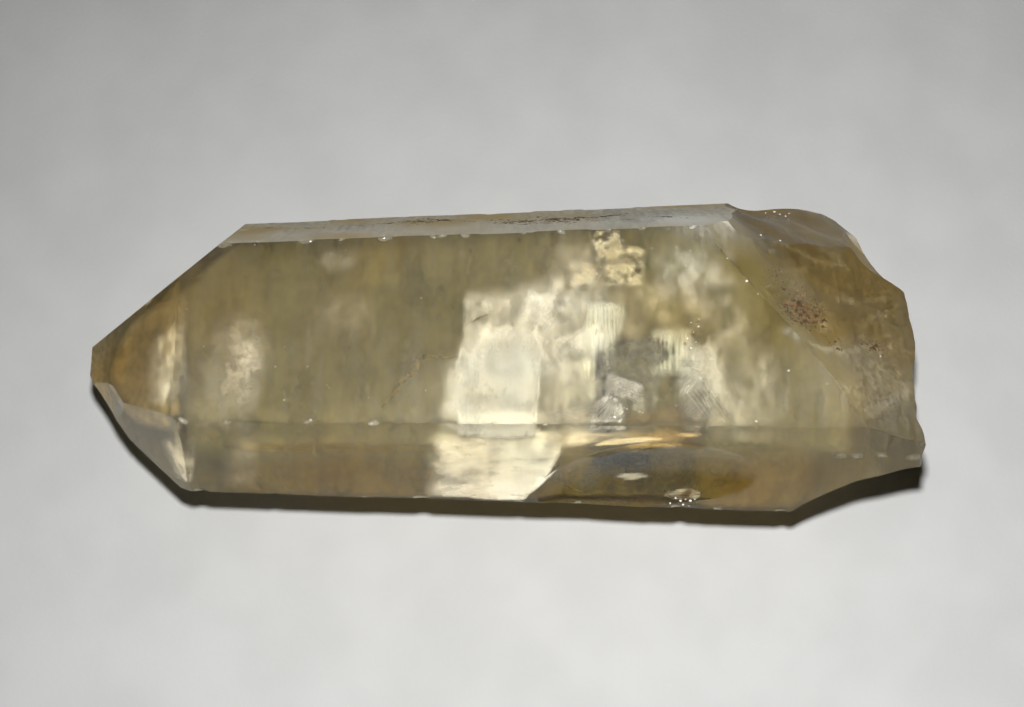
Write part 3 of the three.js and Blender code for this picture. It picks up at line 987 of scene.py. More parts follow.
def sheet(name, at, facing, parts, relief, material):
    """A thin closed sheet whose milk and warmth are kept as attributes."""
    outline = np.array([corner[:2] for part in parts for corner in part[3]])
    start, end = outline.min(0), outline.max(0)
    columns, rows = np.ceil((end - start) / SHEET_CELL).astype(int) + 1
    u, v = np.meshgrid(np.linspace(start[0], end[0], columns), np.linspace(start[1], end[1], rows),
                       indexing="ij")
    milk, warm = milky(u, v, parts)
    height = relief(u, v) + np.zeros_like(u)
    axes = np.array(surface_axes(facing))
    spots = (np.stack([u, v, height], -1) @ axes + np.array(at) + np.array(AXIS_PLACE)) * MM
    number = np.arange(u.size).reshape(columns, rows)
    cells = np.stack([number[:-1, :-1], number[1:, :-1], number[1:, 1:], number[:-1, 1:]], -1).reshape(-1, 4)
    cells = cells[milk.ravel()[cells].max(1) > BARE]
    mesh = bpy.data.meshes.new(name)
    mesh.from_pydata(spots.reshape(-1, 3).tolist(), [], cells.tolist())
    for key, values in {"milk": milk, "warm": warm}.items():
        layer = mesh.attributes.new(key, "FLOAT", "POINT")
        layer.data.foreach_set("value", values.ravel().astype(np.float32))
    mesh.materials.append(material)
    return walled(name, mesh)


def walled(name, mesh):
    """Gives a flat mesh its small thickness, so that it is closed, and keeps it as plain data."""
    shape = bmesh.new()
    shape.from_mesh(mesh)
    loose = [vertex for vertex in shape.verts if not vertex.link_faces]
    bmesh.ops.delete(shape, geom=loose, context="VERTS")
    shape.to_mesh(mesh)
    shape.free()
    thing = add_object(name, mesh)
    wall = thing.modifiers.new("wall", "SOLIDIFY")
    wall.thickness = SHEET_THICKNESS * MM
    thing.data = evaluated_mesh(thing)
    thing.modifiers.clear()
    thing.data.shade_smooth()
    thing.data.name = name
    return thing


# %% [markdown]
# ## Milk, cracks and painted shade
# The sheets differ in colour, in how much they hide and in the grain that breaks them up: lumps for
# clouds, long streaks for veils that healed along growth lines. One function makes them all. The
# noise multiplies the sheet's own milk, so a soft side stays soft, as a real veil's does. A healed
# crack also has a satin shine where it faces half way between lamp and eye. That comes from bubble
# walls that reflect like mirrors, so part of the shader is set to be metallic.

# %% The material of a sheet
VEIL_IOR = 1.85


def sheet_material(name, light, dark, warm, most, lump, stretch=(1, 1, 1), ragged=1.0, gloss=0.45,
                   satin=0.0, turn=0.0):
    """A film from light to dark, tinted where it is warm, which hides at most a given share."""
    mat, tree, shader = new_material(name)
    wisp = noise(tree, lump, 3, stretch, 0.66, turn)
    fine = noise(tree, lump / 5, 1, stretch, 0.6, turn)
    patch = noise(tree, lump * 2.7, 1, roughness=0.5)
    milk = attribute(tree, "milk")
    broken = threshold(tree, wisp, 0.25, 0.75, 1 - ragged, 1 + ragged)
    share = times(tree, milk, broken, threshold(tree, fine, 0.25, 0.75, 0.85, 1.12))
    tree.links.new(math_node(tree, "MULTIPLY", share, most, clamp=True), shader.inputs["Alpha"])
    tone = math_node(tree, "ADD", times(tree, patch, 0.5), times(tree, fine, 0.5))
    colour = mix_colour(tree, threshold(tree, tone, 0.38, 0.62), light, dark)
    warmth = times(tree, attribute(tree, "warm"), threshold(tree, patch, 0.3, 0.7, 1.2, 0.8))
    colour = mix_colour(tree, math_node(tree, "MINIMUM", warmth, 1.0), colour, warm)
    tree.links.new(colour, shader.inputs["Base Color"])
    shader.inputs["Roughness"].default_value = gloss
    shader.inputs["Metallic"].default_value = satin
    shader.inputs["IOR"].default_value = VEIL_IOR
    return mat


ALONG_Y = (0.35, 5.0, 5.0)
ALONG_X = (5.0, 0.4, 0.4)
LINEN = (0.8, 1.5, 1.5)
DIAGONAL = math.radians(40)
BEIGE = (0.80, 0.66, 0.42)
OCHRE = (0.56, 0.43, 0.17)
GREY_BROWN = (0.50, 0.45, 0.34)
FILMS = {  # light, dark and warm colour, the most it hides, its lumps in mm, and what else is its own
    "milk_white": ((1.0, 1.0, 1.0), (0.96, 0.93, 0.86), BEIGE, 1.0, 1.4,
                   {"stretch": LINEN, "ragged": 0.65, "gloss": 0.385, "satin": 0.85}),
    "milk_streaked": ((1.0, 1.0, 0.97), (0.95, 0.91, 0.82), (0.90, 0.62, 0.28), 1.0, 1.2,
                      {"stretch": (2.0, 0.8, 0.8), "ragged": 0.65, "gloss": 0.38, "satin": 0.85}),
    "milk_freckled": ((1.0, 0.95, 0.86), (0.88, 0.77, 0.60), BEIGE, 0.9, 1.0, {"ragged": 0.7, "satin": 0.3}),
    "bright_streaks": ((1.0, 1.0, 0.92), (0.94, 0.95, 0.76), BEIGE, 1.0, 0.8,
                       {"stretch": ALONG_Y, "ragged": 1.3, "gloss": 0.4, "satin": 0.6}),
    # painted highlight: a bright cream film where the lamp glints right of the middle
    "cream_glints": ((1.0, 0.97, 0.80), (0.94, 0.82, 0.55), BEIGE, 1.0, 1.1,
                     {"ragged": 1.6, "gloss": 0.4, "satin": 0.6}),
    "inner_haze": ((0.66, 0.60, 0.33), (0.47, 0.42, 0.19), OCHRE, 0.62, 4.5,
                   {"stretch": LINEN, "ragged": 0.5, "gloss": 0.6}),
    "front_haze": ((0.80, 0.63, 0.17), (0.58, 0.46, 0.09), (0.58, 0.37, 0.09), 0.6, 4.0,
                   {"stretch": LINEN, "ragged": 0.5, "gloss": 0.6}),
    "point_brown": ((1.0, 0.92, 0.66), (0.92, 0.74, 0.46), (0.96, 0.70, 0.30), 0.8, 3.0,
                    {"ragged": 0.6, "gloss": 0.6}),
    "crack_film": ((0.84, 0.81, 0.70), (0.56, 0.51, 0.38), BEIGE, 0.30, 1.2, {"gloss": 0.25, "satin": 0.2}),
    "crack_block": ((0.90, 0.86, 0.84), (0.66, 0.61, 0.56), GREY_BROWN, 0.28, 0.9,
                    {"ragged": 0.6, "gloss": 0.35, "satin": 0.2}),
    "crack_steps": ((1.0, 0.97, 0.93), (0.55, 0.50, 0.43), GREY_BROWN, 1.0, 0.55,
                    {"stretch": (0.3, 5.0, 1.0), "turn": DIAGONAL, "ragged": 2.4, "gloss": 0.25,
                     "satin": 0.4}),
    # painted shadow: a dark film along the rim of the shell crack
    "dark_rim": ((0.36, 0.32, 0.22), (0.25, 0.22, 0.14), GREY_BROWN, 0.34, 1.1,
                 {"ragged": 0.9, "gloss": 0.3}),
    # painted highlight: a bright gold film for the glint along the rim of the chip
    "gold_film": ((1.0, 0.92, 0.66), (0.95, 0.74, 0.40), OCHRE, 1.0, 0.8,
                  {"stretch": ALONG_X, "ragged": 0.7, "gloss": 0.4, "satin": 0.6}),
    # painted shade: dark films that darken the hollow behind the chip
    "smoke": ((0.42, 0.36, 0.20), (0.26, 0.23, 0.13), OCHRE, 0.36, 1.6, {"ragged": 0.9, "gloss": 0.3}),
    "dark_glass": ((0.22, 0.23, 0.19), (0.06, 0.065, 0.05), OCHRE, 0.9, 0.9,
                   {"stretch": ALONG_X, "ragged": 0.8, "gloss": 0.15}),
    "flake_white": ((0.95, 0.91, 0.80), (0.80, 0.74, 0.60), BEIGE, 1.0, 0.8, {"ragged": 0.3, "satin": 0.3}),
    # painted highlight: a bright white-gold film for the flash of light in the chip
    "chip_white": ((1.0, 0.98, 0.86), (0.9, 0.72, 0.42), OCHRE, 1.4, 0.5,
                   {"stretch": ALONG_X, "ragged": 1.2, "gloss": 0.3, "satin": 0.9}),
    "hairline_white": ((1.0, 0.98, 0.92), (0.80, 0.76, 0.66), BEIGE, 1.0, 0.6, {"gloss": 0.3, "satin": 0.7}),
}
films = {name: sheet_material(name, *common, **own) for name, (*common, own) in FILMS.items()}
print("films:", len(films))

# %% [markdown]
# ## Where the veils lie
# The biggest veil crosses the middle of the crystal. It ends at a straight side, square to the axis,
# where growth stopped for a while. The others are a cloud near the point, bands behind two faces of
# the point, panels and streaks right of the middle, and thinner haze towards the base; the cream sheet
# among them is a painted highlight. Under them all lies a broad brown haze behind the top face, the
# one in front of it and the point.

# %% Directions and waves of the veils
TOP = face_direction(0, 1.75)
UPPER_FRONT = face_direction(-60, 1.86)
POINT_TOP = face_direction(0, POINT_LEAN)
TOWARDS_LAMP = (-0.012, -0.161, 0.987)  # half way between lamp and eye, seen through the top face
TOWARDS_LAMP_FRONT = (-0.015, -0.51, 0.86)  # the same through the upper front face
TOWARDS_LAMP_POINT = (-0.144, -0.158, 0.977)  # and through the two seen faces of the point
TOWARDS_LAMP_POINT_FRONT = (-0.209, -0.502, 0.839)


def gentle(height, length, seed):
    """A softly waving relief for a sheet."""
    def relief(u, v):
        return ground(u, v, height, length, seed) + ground(u, v, height * 0.4, length * 0.45, seed + 7)
    return relief


# %% The milky parts of each veil
BROAD_PARTS = (  # strength, warmth, softness, corners
    (0.85, 0.30, 2.6, ((-31.0, -10.0), (-28.0, -12.0, 4.5), (36.0, -12.0), (36.0, 5.0), (23.0, 13.3, 0.6),
                       (-24.5, 12.2, 0.5), (-32.5, 4.5))),
    (0.3, 1.0, 3.0, ((-31.0, -2.0), (-20.0, -4.0), (-22.0, 10.0), (-31.0, 6.0))),
    (0.3, 1.0, 1.6, ((-15.0, 5.0), (-8.0, 5.0), (-8.0, 10.5), (-15.0, 10.5))),
    (0.08, 1.0, 2.5, ((8.0, -4.0), (20.0, -4.0), (20.0, 8.0), (8.0, 8.0))),
)
BROAD_FRONT_PARTS = (
    (0.85, 0.35, 2.0, ((-29.0, -3.5, 0.8), (30.4, -4.2, 2.0), (31.0, 4.4, 1.0), (-27.0, 4.4))),
    (0.3, 1.0, 1.5, ((-19.5, -3.0), (-14.0, -3.0), (-14.0, 2.0), (-19.5, 2.0))),
    (0.3, 1.0, 2.0, ((23.0, -4.0), (32.0, -4.0), (32.0, 3.4), (23.0, 3.4))),
    (0.35, 1.0, 0.9, ((-10.9, 0.2), (-8.2, 0.2), (-8.2, 3.2), (-10.9, 3.2))),
)
POINT_PARTS = (
    (0.72, 0.35, 1.6, ((-7.4, -3.4), (-2.5, -8.0), (3.4, -9.0), (3.4, 5.4), (-4.8, 3.4), (-7.2, 0.0))),
    (0.36, 1.0, 1.6, ((-7.4, -3.2), (-4.0, -4.4), (-3.2, 3.6), (-7.2, 0.0))),
)
MIDDLE_PARTS = (
    (0.62, 0.10, 1.4, ((-13.4, -8.6, 0.3), (-5.7, -8.6, 0.5), (-5.3, -6.2, 0.6), (-5.1, -0.2, 3.4),
                       (-13.4, 0.6, 1.0))),
    (1.10, 0.06, 3.4, ((-12.2, -8.9, 0.5), (-5.6, -8.9, 0.7), (-4.7, 0.8), (-11.6, 2.2))),
    (0.18, 0.15, 1.8, ((-15.6, -8.5), (-11.6, -8.5), (-11.6, -0.4), (-14.8, -1.8))),
    (0.14, 0.30, 2.6, ((-12.9, -3.4), (-3.6, -3.4), (-3.4, 5.8), (-9.1, 6.2), (-12.9, 5.4, 0.6))),
    (0.15, 0.05, 3.0, ((-10.0, -4.6), (-1.8, -4.4), (-2.2, 6.8), (-7.8, 6.6))),
    (0.12, 0.10, 3.0, ((-6.8, -5.0), (2.6, -1.8), (2.8, 5.6), (-3.3, 7.0), (-6.8, 5.6))),
    (0.14, 0.05, 1.6, ((-5.6, -3.8), (-3.2, -5.4), (2.3, -2.0), (1.5, 2.2), (-3.9, 0.4))),
    (0.10, 0.30, 1.8, ((-6.4, -9.2), (1.6, -9.2), (1.6, -2.5), (-6.0, -2.4))),
    (0.10, 0.55, 2.8, ((-5.8, 3.4), (2.0, 3.4), (2.0, 10.2), (-4.6, 10.2))),
    (0.05, 0.90, 1.8, ((0.8, -1.9), (11.5, -1.9), (11.6, 6.3), (0.8, 6.3))),
    (0.05, 0.80, 1.1, ((3.8, 1.2), (7.9, 1.2), (7.9, 5.7), (3.8, 5.7))),
    (0.02, 0.45, 0.8, ((-21.0, -8.6), (-12.0, -8.6), (-12.0, -1.8), (-17.2, -1.9, 0.4), (-19.6, -5.6, 0.5))),
    (0.05, 0.60, 3.4, ((7.6, -6.6), (21.0, -6.6), (17.5, 3.4), (13.4, 8.4), (8.2, 8.4))),
    (0.06, 0.25, 3.2, ((7.6, -9.8, 1.4), (20.0, -9.8), (17.4, -2.8), (14.0, -1.2), (7.6, -1.2))),
    (0.33, 0.10, 2.8, ((7.4, -7.8), (13.4, -7.8), (13.2, 0.2), (7.8, 0.4))),
    (0.10, 0.10, 3.0, ((5.0, 2.4), (15.6, 2.4), (13.2, 9.8), (5.0, 10.4))),
    (0.03, 0.0, 3.0, ((10.0, -9.4), (22.0, -9.4), (19.0, -2.0), (14.6, 5.6), (10.0, 5.6))),
)
CLOUD_PARTS = (
    (0.24, 0.45, 2.8, ((-8.4, -9.6), (-2.4, -9.6), (-0.4, -4.5), (-1.2, 1.8), (-4.8, 3.6), (-8.6, 1.0))),
    (0.27, 0.10, 2.4, ((-7.2, -7.6), (-2.2, -7.6), (-1.4, -1.0), (-2.8, 1.4), (-6.6, 0.4))),
    (0.25, 0.10, 1.0, ((-4.8, -4.4), (-2.8, -4.4), (-2.8, -1.2), (-4.8, -1.2))),
    (0.12, 0.35, 2.4, ((-10.8, -9.2), (-5.4, -9.2), (-5.4, -1.6), (-10.4, -2.0))),
    (0.10, 0.45, 2.4, ((2.2, -1.0), (9.2, -1.0), (9.2, 5.0), (2.2, 5.0))),
    (0.12, 0.30, 1.3, ((2.5, 6.1), (7.1, 6.1), (7.1, 9.1), (2.5, 9.1))),
)
FRONT_PARTS = (
    (0.62, 0.15, 1.1, ((-4.4, -4.4, 0.35), (1.0, -4.4, 0.35), (3.2, -1.6, 0.4), (4.9, 1.4, 0.6), (5.2, 4.6),
                       (-3.4, 4.6, 2.6))),
    (0.90, 0.00, 1.8, ((-2.8, -4.5, 0.5), (1.2, -4.5, 0.5), (3.6, -1.5, 0.6), (5.0, 1.8), (3.0, 4.9),
                       (-1.8, 4.9))),
    (0.42, 0.20, 3.8, ((-9.2, -4.2, 0.6), (-0.6, -4.2), (-0.6, 5.2), (-8.8, 5.2))),
    (0.36, 0.35, 1.4, ((3.8, 1.6), (9.6, 2.6), (15.8, 5.1), (4.2, 5.1))),
    (0.12, 1.00, 1.4, ((9.2, 2.4), (19.2, 2.6), (19.0, 5.1), (11.2, 5.1))),
    (0.09, 0.45, 2.2, ((-29.6, -3.4), (-24.6, -3.6), (-24.2, 4.6), (-29.0, 3.8))),
)
POINT_TOP_PARTS = (
    (0.21, 0.35, 1.3, ((-1.0, -5.6, 1.0), (3.8, -7.0, 0.35), (2.9, 2.8), (-1.6, 1.2, 3.6))),
    (0.10, 0.15, 1.3, ((1.0, -5.0, 1.0), (3.8, -5.6, 0.35), (3.1, 0.4), (1.0, 0.2))),
)
POINT_FRONT_PARTS = (
    (0.42, 0.45, 1.2, ((-1.2, -2.5, 0.8), (1.1, -3.0, 0.35), (2.6, 3.7), (-1.8, 2.0, 2.6))),
)
STREAK_PARTS = (
    (0.75, 0.00, 1.6, ((-1.4, -4.8), (2.0, -5.0), (3.6, 3.4), (-1.0, 3.4))),
    (0.15, 0.10, 1.8, ((-2.8, -7.2), (1.4, -7.3), (2.4, -1.4), (-2.4, -1.2))),
    (0.35, 0.10, 1.4, ((5.2, -4.6), (10.0, -4.6), (10.2, 0.8), (5.4, 0.8))),
)
# painted highlight: bright cream patches right of the middle
CREAM_PARTS = (
    (0.60, 0.10, 1.2, ((-2.6, -1.2), (0.8, -1.8), (1.6, 2.6), (-2.6, 2.8))),
    (0.55, 0.30, 1.6, ((-2.0, -3.8), (3.2, -3.8), (3.4, 0.8), (-1.4, 1.0))),
    (0.35, 0.40, 1.2, ((-5.0, -3.8), (-1.2, -3.8), (-1.2, -0.8), (-5.0, -0.6))),
)


def patch_of(softness, *corners, strength=1.0):
    """One even part without warmth."""
    return ((strength, 0.0, softness, corners),)


# %% The veils
VEILS = (  # name, a point on it, the way it faces, its parts, wave, material
    ("broad_haze", (-2.0, -1.0, 6.2), TOP, BROAD_PARTS, gentle(0.3, 6, 70), "inner_haze"),
    ("broad_front_haze", (-1.0, -12.2, 3.2), UPPER_FRONT, BROAD_FRONT_PARTS, gentle(0.3, 6, 69),
     "front_haze"),
    ("point_haze", (-34.5, -1.0, 6.5), POINT_TOP, POINT_PARTS, gentle(0.2, 3, 68), "point_brown"),
    ("middle_veil", (8, -2, 11.0), TOWARDS_LAMP, MIDDLE_PARTS, gentle(0.16, 3, 71), "milk_white"),
    ("front_veil", (0, -12.4, 5.7), TOWARDS_LAMP_FRONT, FRONT_PARTS, gentle(0.12, 3, 72), "milk_streaked"),
    ("point_cloud", (-22, -1.5, 10.8), TOWARDS_LAMP, CLOUD_PARTS, gentle(0.12, 2.5, 73), "milk_freckled"),
    ("point_top_band", (-35, -2, 8.6), TOWARDS_LAMP_POINT, POINT_TOP_PARTS, gentle(0.12, 2, 74),
     "milk_white"),
    ("point_front_band", (-33, -11.5, 4.5), TOWARDS_LAMP_POINT_FRONT, POINT_FRONT_PARTS, gentle(0.1, 2, 75),
     "milk_white"),
    ("streaked_veil", (8.0, -1.5, 10.6), (0, -0.161, 0.987), STREAK_PARTS, gentle(0.12, 2, 79),
     "bright_streaks"),
    ("cream_veil", (10.3, 7.0, 10.6), (0, -0.161, 0.987), CREAM_PARTS, gentle(0.2, 1.5, 80), "cream_glints"),
)


def sheets(rows):
    return [sheet(name, at, facing, parts, relief, films[film])
            for name, at, facing, parts, relief, film in rows]


veils = sheets(VEILS)
print("veils:", len(veils), "faces:", sum(len(veil.data.polygons) for veil in veils))

# %% [markdown]
# ## Fresh cracks
# Right of the middle the crystal took a blow. It left a shell-shaped crack with painted shadow along
# its rim, a clear block that catches the light, and two fans of fine steps, one with a painted glare.
# Below it a flake broke away. Behind that break sit painted highlights, a golden streak and a white
# flash, and dark sheets of painted shade in the hollow. These are sheets too, but bent like shells,
# and smoother than veils, because a crack is a mirror wherever it meets the light.

# %% Cracks
def shell(depth, reach, ring, ring_height, seed):
    """A shell-shaped relief: a bowl with rings around one end of it."""
    def relief(u, v):
        from_blow = np.hypot(u + reach, v + reach * 0.6)
        bowl = depth * ((u * u + v * v) / reach**2 - 1)
        return bowl + ripple(from_blow, ring_height, ring) + ground(u, v, 0.05, 0.9, seed)
    return relief


# painted shadow: dark strips along the upper rim of the shell crack
RIM_PARTS = (
    (0.5, 0.0, 0.5, ((-4.0, -3.2), (-3.2, -3.2), (-2.9, 0.2), (-3.7, 0.2))),
    (0.5, 0.0, 0.45, ((-3.6, -0.3), (0.4, 0.1), (0.4, 0.9), (-2.8, 0.7))),
    (0.3, 0.0, 0.5, ((0.0, -0.2), (3.0, -0.2), (2.9, 0.9), (0.2, 0.9))),
    (0.6, 0.0, 0.4, ((2.3, -1.6), (3.3, -1.6), (3.4, 0.4), (2.4, 0.5))),
)
CRACKS = (  # name, a point on it, the way it faces, its parts, relief, material
    ("crack_shell", (11, -6, 10.2), (0.1, -0.3, 0.95),
     patch_of(1.0, (-3.1, -3.8), (3.1, -3.9), (4.8, 3.2), (1.5, 4.4), (-3.0, 3.5)),
     shell(0.5, 5.0, 2.1, 0.1, 91), "crack_film"),
    ("crack_rim", (12.0, -2.9, 10.4), (0.0, -0.1, 0.99), RIM_PARTS,
     shell(0.2, 4.0, 1.6, 0.05, 92), "dark_rim"),
    ("clear_block", (10.5, -6.9, 11.2), (-0.05, -0.2, 0.98),
     patch_of(0.4, (-1.8, -1.1), (1.8, -1.8), (2.4, 0.1), (-1.5, 1.5)), gentle(0.05, 1.0, 93), "crack_block"),
    ("crack_fan", (8.8, -9.2, 11.3), (-0.1, -0.22, 0.97),
     patch_of(0.9, (-2.0, -1.6), (2.4, -1.5), (1.5, 1.1), (-0.4, 1.8)), gentle(0.05, 0.8, 94), "crack_steps"),
    # fine steps with a painted glare: bright streaks where the lamp glares off them
    ("base_fan", (17.4, -8.4, 11.0), (0.05, -0.161, 0.987),
     patch_of(1.3, (-1.4, -2.0), (2.0, -2.2), (1.5, 2.4), (-1.5, 3.0)), gentle(0.1, 1.2, 95), "crack_steps"),
    # painted highlights: two bright gold sheets where the lamp glints along the chip's rim
    ("gold_streak", (14.5, -11.6, 11.0), TOWARDS_LAMP_FRONT,
     patch_of(0.45, (-8.0, -1.3), (-3.0, -0.8), (1.2, -0.3), (-0.6, 0.3), (-5.0, 0.1)),
     gentle(0.05, 1.5, 97), "gold_film"),
    ("short_gold_streak", (16.6, -11.4, 11.3), TOWARDS_LAMP_FRONT,
     patch_of(0.3, (-1.2, -0.1), (0.6, -0.3), (2.0, 0.2), (0.4, 0.45), (-0.8, 0.4)),
     gentle(0.03, 1.0, 98), "gold_film"),
    # painted highlight: a white sheet where the lamp flashes off the chip's lower end
    ("chip_flash", (16.9, -15.8, 4.5), TOWARDS_LAMP_FRONT,
     patch_of(0.35, (-2.1, -0.2), (-0.6, -0.7), (1.5, -0.6), (2.0, 0.1), (0.6, 0.75), (-1.2, 0.3)),
     gentle(0.08, 0.8, 96), "chip_white"),
    # painted shade: two dark sheets in the hollow behind the chip
    ("smoky_hollow", (12, -13, 6), (-0.03, -0.8656, 0.5),
     patch_of(1.0, (-6.7, -4.5), (7.3, -4.8, 2.0), (6.2, 3.0), (1.3, 3.6), (-4.4, 2.7)),
     shell(0.4, 6.0, 2.4, 0.08, 99), "smoke"),
    ("dark_pocket", (10.6, -12.7, 7.2), (-0.03, -0.7, 0.71),
     patch_of(0.6, (-3.2, -0.9), (2.8, -1.4), (3.1, 0.6), (0.0, 1.5), (-2.6, 0.6)),
     shell(0.25, 3.0, 1.1, 0.06, 100), "dark_glass"),
    ("white_flake", (11.8, -14.2, 5.5), (-0.03, -0.6, 0.8),
     patch_of(0.2, (-2.0, 0.0), (-0.3, -0.6), (1.2, -0.35), (2.2, 0.1), (-0.4, 0.4)),
     gentle(0.05, 1.0, 101), "flake_white"),
)
cracks = sheets(CRACKS)
print("cracks:", len(cracks), "faces:", sum(len(crack.data.polygons) for crack in cracks))

# %% [markdown]
# ## Brown veins
# Iron crept in along the growth zones and left thin brown lines. Each is a narrow ribbon, laid flat
# at its own depth, that thins out at both ends. A curve with a bevel would make it as round as a
# wire, which no film of rust is.

# %% Ribbons along a line
RIBBON_STEP = 0.2
RIBBON_FEWEST = 6  # points along a ribbon
RIBBON_END = 0.25  # how wide a ribbon's end is, as a share of its half width
RIBBON_SWELL = 3.0  # how fast it widens towards its middle
VEINS = (  # points from the axis, half width
    (((-12.5, -9.0, 11.1), (-10.8, -6.7, 11.2), (-9.4, -5.2, 11.2), (-9.1, -4.0, 11.2), (-5.2, -3.9, 11.3)),
     0.22),
    (((3.7, -14.3, 5.9), (5.4, -15.0, 4.6), (7.7, -15.5, 3.4)), 0.08),
    (((-4.6, -0.6, 12.1), (-3.0, -0.1, 12.1), (-2.0, 0.5, 12.1)), 0.07),
)


def ribbon_mesh(name, points, half_width, wander, seed):
    """A flat ribbon through points, which wanders a little and narrows at both ends."""
    points = np.array(points, dtype=float)
    lengths = np.concatenate([[0], np.cumsum(np.linalg.norm(np.diff(points, axis=0), axis=1))])
    count = max(RIBBON_FEWEST, int(lengths[-1] / RIBBON_STEP))
    along = np.linspace(0, lengths[-1], count)
    middle = np.stack([np.interp(along, lengths, points[:, axis]) for axis in range(3)], -1)
    middle[:, 1] += ground(along, along * 0, wander, 0.9, seed)
    ahead = np.gradient(middle, axis=0)
    across = np.stack([-ahead[:, 1], ahead[:, 0], 0 * along], -1)
    across /= np.linalg.norm(across, axis=1)[:, None]
    share = along / lengths[-1]
    taper = RIBBON_END + RIBBON_SWELL * share * (1 - share)
    uneven = 1 + ground(along, along * 0, height=0.5, length=0.7, seed=seed + 3)
    half = half_width * taper * uneven
    spots = np.concatenate([middle - across * half[:, None], middle + across * half[:, None]])
    faces = [(i, i + 1, count + i + 1, count + i) for i in range(count - 1)]
    mesh = bpy.data.meshes.new(name)
    mesh.from_pydata(((spots + np.array(AXIS_PLACE)) * MM).tolist(), [], faces)
    return mesh


VEIN_BROWN = (0.52, 0.40, 0.14)
VEIN_DARK = (0.40, 0.28, 0.09)


def vein_material():
    mat, tree, shader = new_material("vein_brown")
    grain = noise(tree, 0.5, 4)
    colour = mix_colour(tree, threshold(tree, grain, 0.3, 0.7), VEIN_BROWN, VEIN_DARK)
    tree.links.new(colour, shader.inputs["Base Color"])
    tree.links.new(threshold(tree, grain, 0.3, 0.65, 0.85, 0.35), shader.inputs["Alpha"])
    shader.inputs["Roughness"].default_value = 0.6
    return mat


HAIRLINES = (  # start, end; fine open steps beside the two blows
    *(((10.2 - 0.15 * k, -7.9, 11.9), (7.4 + 0.62 * k, -10.0 - 0.1 * k, 11.7)) for k in range(6)),
    *(((16.6 + 0.42 * k, -7.6 + 0.1 * k, 11.9), (18.4 + 0.5 * k, -10.1 - 0.05 * k, 11.6)) for k in range(6)),
    ((10.7, -8.0, 12.0), (12.2, -8.9, 12.0)), ((11.2, -7.6, 12.0), (12.6, -8.0, 12.0)),
    ((16.2, -4.4, 12.0), (17.9, -4.9, 12.0)), ((16.4, -4.9, 12.0), (18.2, -5.6, 12.0)),
    ((5.0, -9.8, 11.9), (6.3, -10.3, 11.8)), ((33.6, -3.4, 9.9), (34.6, -4.6, 9.9)),
)
vein_brown = vein_material()
veins = []
for seed, (points, half_width) in enumerate(VEINS, 1):
    vein_mesh = ribbon_mesh(f"vein_{seed}", points, half_width, wander=0.12, seed=seed)
    vein_mesh.materials.append(vein_brown)
    veins.append(walled(f"vein_{seed}", vein_mesh))
joined = bmesh.new()
for seed, line in enumerate(HAIRLINES, 21):
    joined.from_mesh(ribbon_mesh("line", line, half_width=0.035, wander=0.05, seed=seed))
line_mesh = bpy.data.meshes.new("hairlines")
joined.to_mesh(line_mesh)
joined.free()
line_mesh.attributes.new("milk", "FLOAT", "POINT").data.foreach_set("value", [1.0] * len(line_mesh.vertices))
line_mesh.attributes.new("warm", "FLOAT", "POINT")
line_mesh.materials.append(films["hairline_white"])
veins.append(walled("hairlines", line_mesh))
print("veins:", len(veins))

# %% [markdown]
# ## Bubbles and glints
# Fine bubbles hang in the clear parts and show as pale specks. The glints are painted highlights:
# small near-white grains on the edges and in the cracks, where points of light show. Both are the same
# kind of thing, a small flat grain repeated many times, so one Geometry Nodes tree makes both: it puts
# a squashed ball of few faces on given points, or on points that it scatters over a carrier, with a
# random size and tilt.

# %% A node tree for grains
GRAIN_SHAPE = (1.0, 0.8, 0.25)  # its length, width and thickness, as shares of its size
GRAIN_SUBDIVISIONS = 1


def grains_tree():
    tree = bpy.data.node_groups.new("grains", "GeometryNodeTree")
    named_input(tree, "Carrier", "NodeSocketGeometry")
    ids = {
        "Scatter": named_input(tree, "Scatter", "NodeSocketBool", False),
        "Density": named_input(tree, "Density", "NodeSocketFloat", 1e5),
        "Smallest": named_input(tree, "Smallest", "NodeSocketFloat", 0.0001),
        "Largest": named_input(tree, "Largest", "NodeSocketFloat", 0.0003),
        "Tilt": named_input(tree, "Tilt", "NodeSocketFloat", 0.1),
        "Seed": named_input(tree, "Seed", "NodeSocketInt", 1),
        "Material": named_input(tree, "Material", "NodeSocketMaterial"),
    }
    tree.interface.new_socket(name="Grains", in_out="OUTPUT", socket_type="NodeSocketGeometry")
    given = tree.nodes.new("NodeGroupInput").outputs
    spread = tree.nodes.new("GeometryNodeDistributePointsOnFaces")
    points = tree.nodes.new("GeometryNodeMeshToPoints")
    choose = tree.nodes.new("GeometryNodeSwitch")
    link(tree, given["Carrier"], spread, "Mesh")
    link(tree, given["Density"], spread, "Density")
    link(tree, given["Seed"], spread, "Seed")
    link(tree, given["Carrier"], points, "Mesh")
    link(tree, given["Scatter"], choose, "Switch")
    link(tree, points.outputs[0], choose, "False")
    link(tree, spread.outputs["Points"], choose, "True")
    turn = random_value(tree, "FLOAT_VECTOR", (-1, -1, -1), (1, 1, 1), given["Seed"], 2)
    tilt = tree.nodes.new("ShaderNodeVectorMath")
    tilt.operation = "SCALE"
    tree.links.new(turn, tilt.inputs[0])
    link(tree, given["Tilt"], tilt, "Scale")
    size = random_value(tree, "FLOAT", given["Smallest"], given["Largest"], given["Seed"], 3)
    made = balls_on_points(
        tree, choose.outputs[0], GRAIN_SHAPE, GRAIN_SUBDIVISIONS, tilt.outputs[0], size,
        given["Material"],
    )
    link(tree, made, tree.nodes.new("NodeGroupOutput"), "Grains")
    return tree, ids


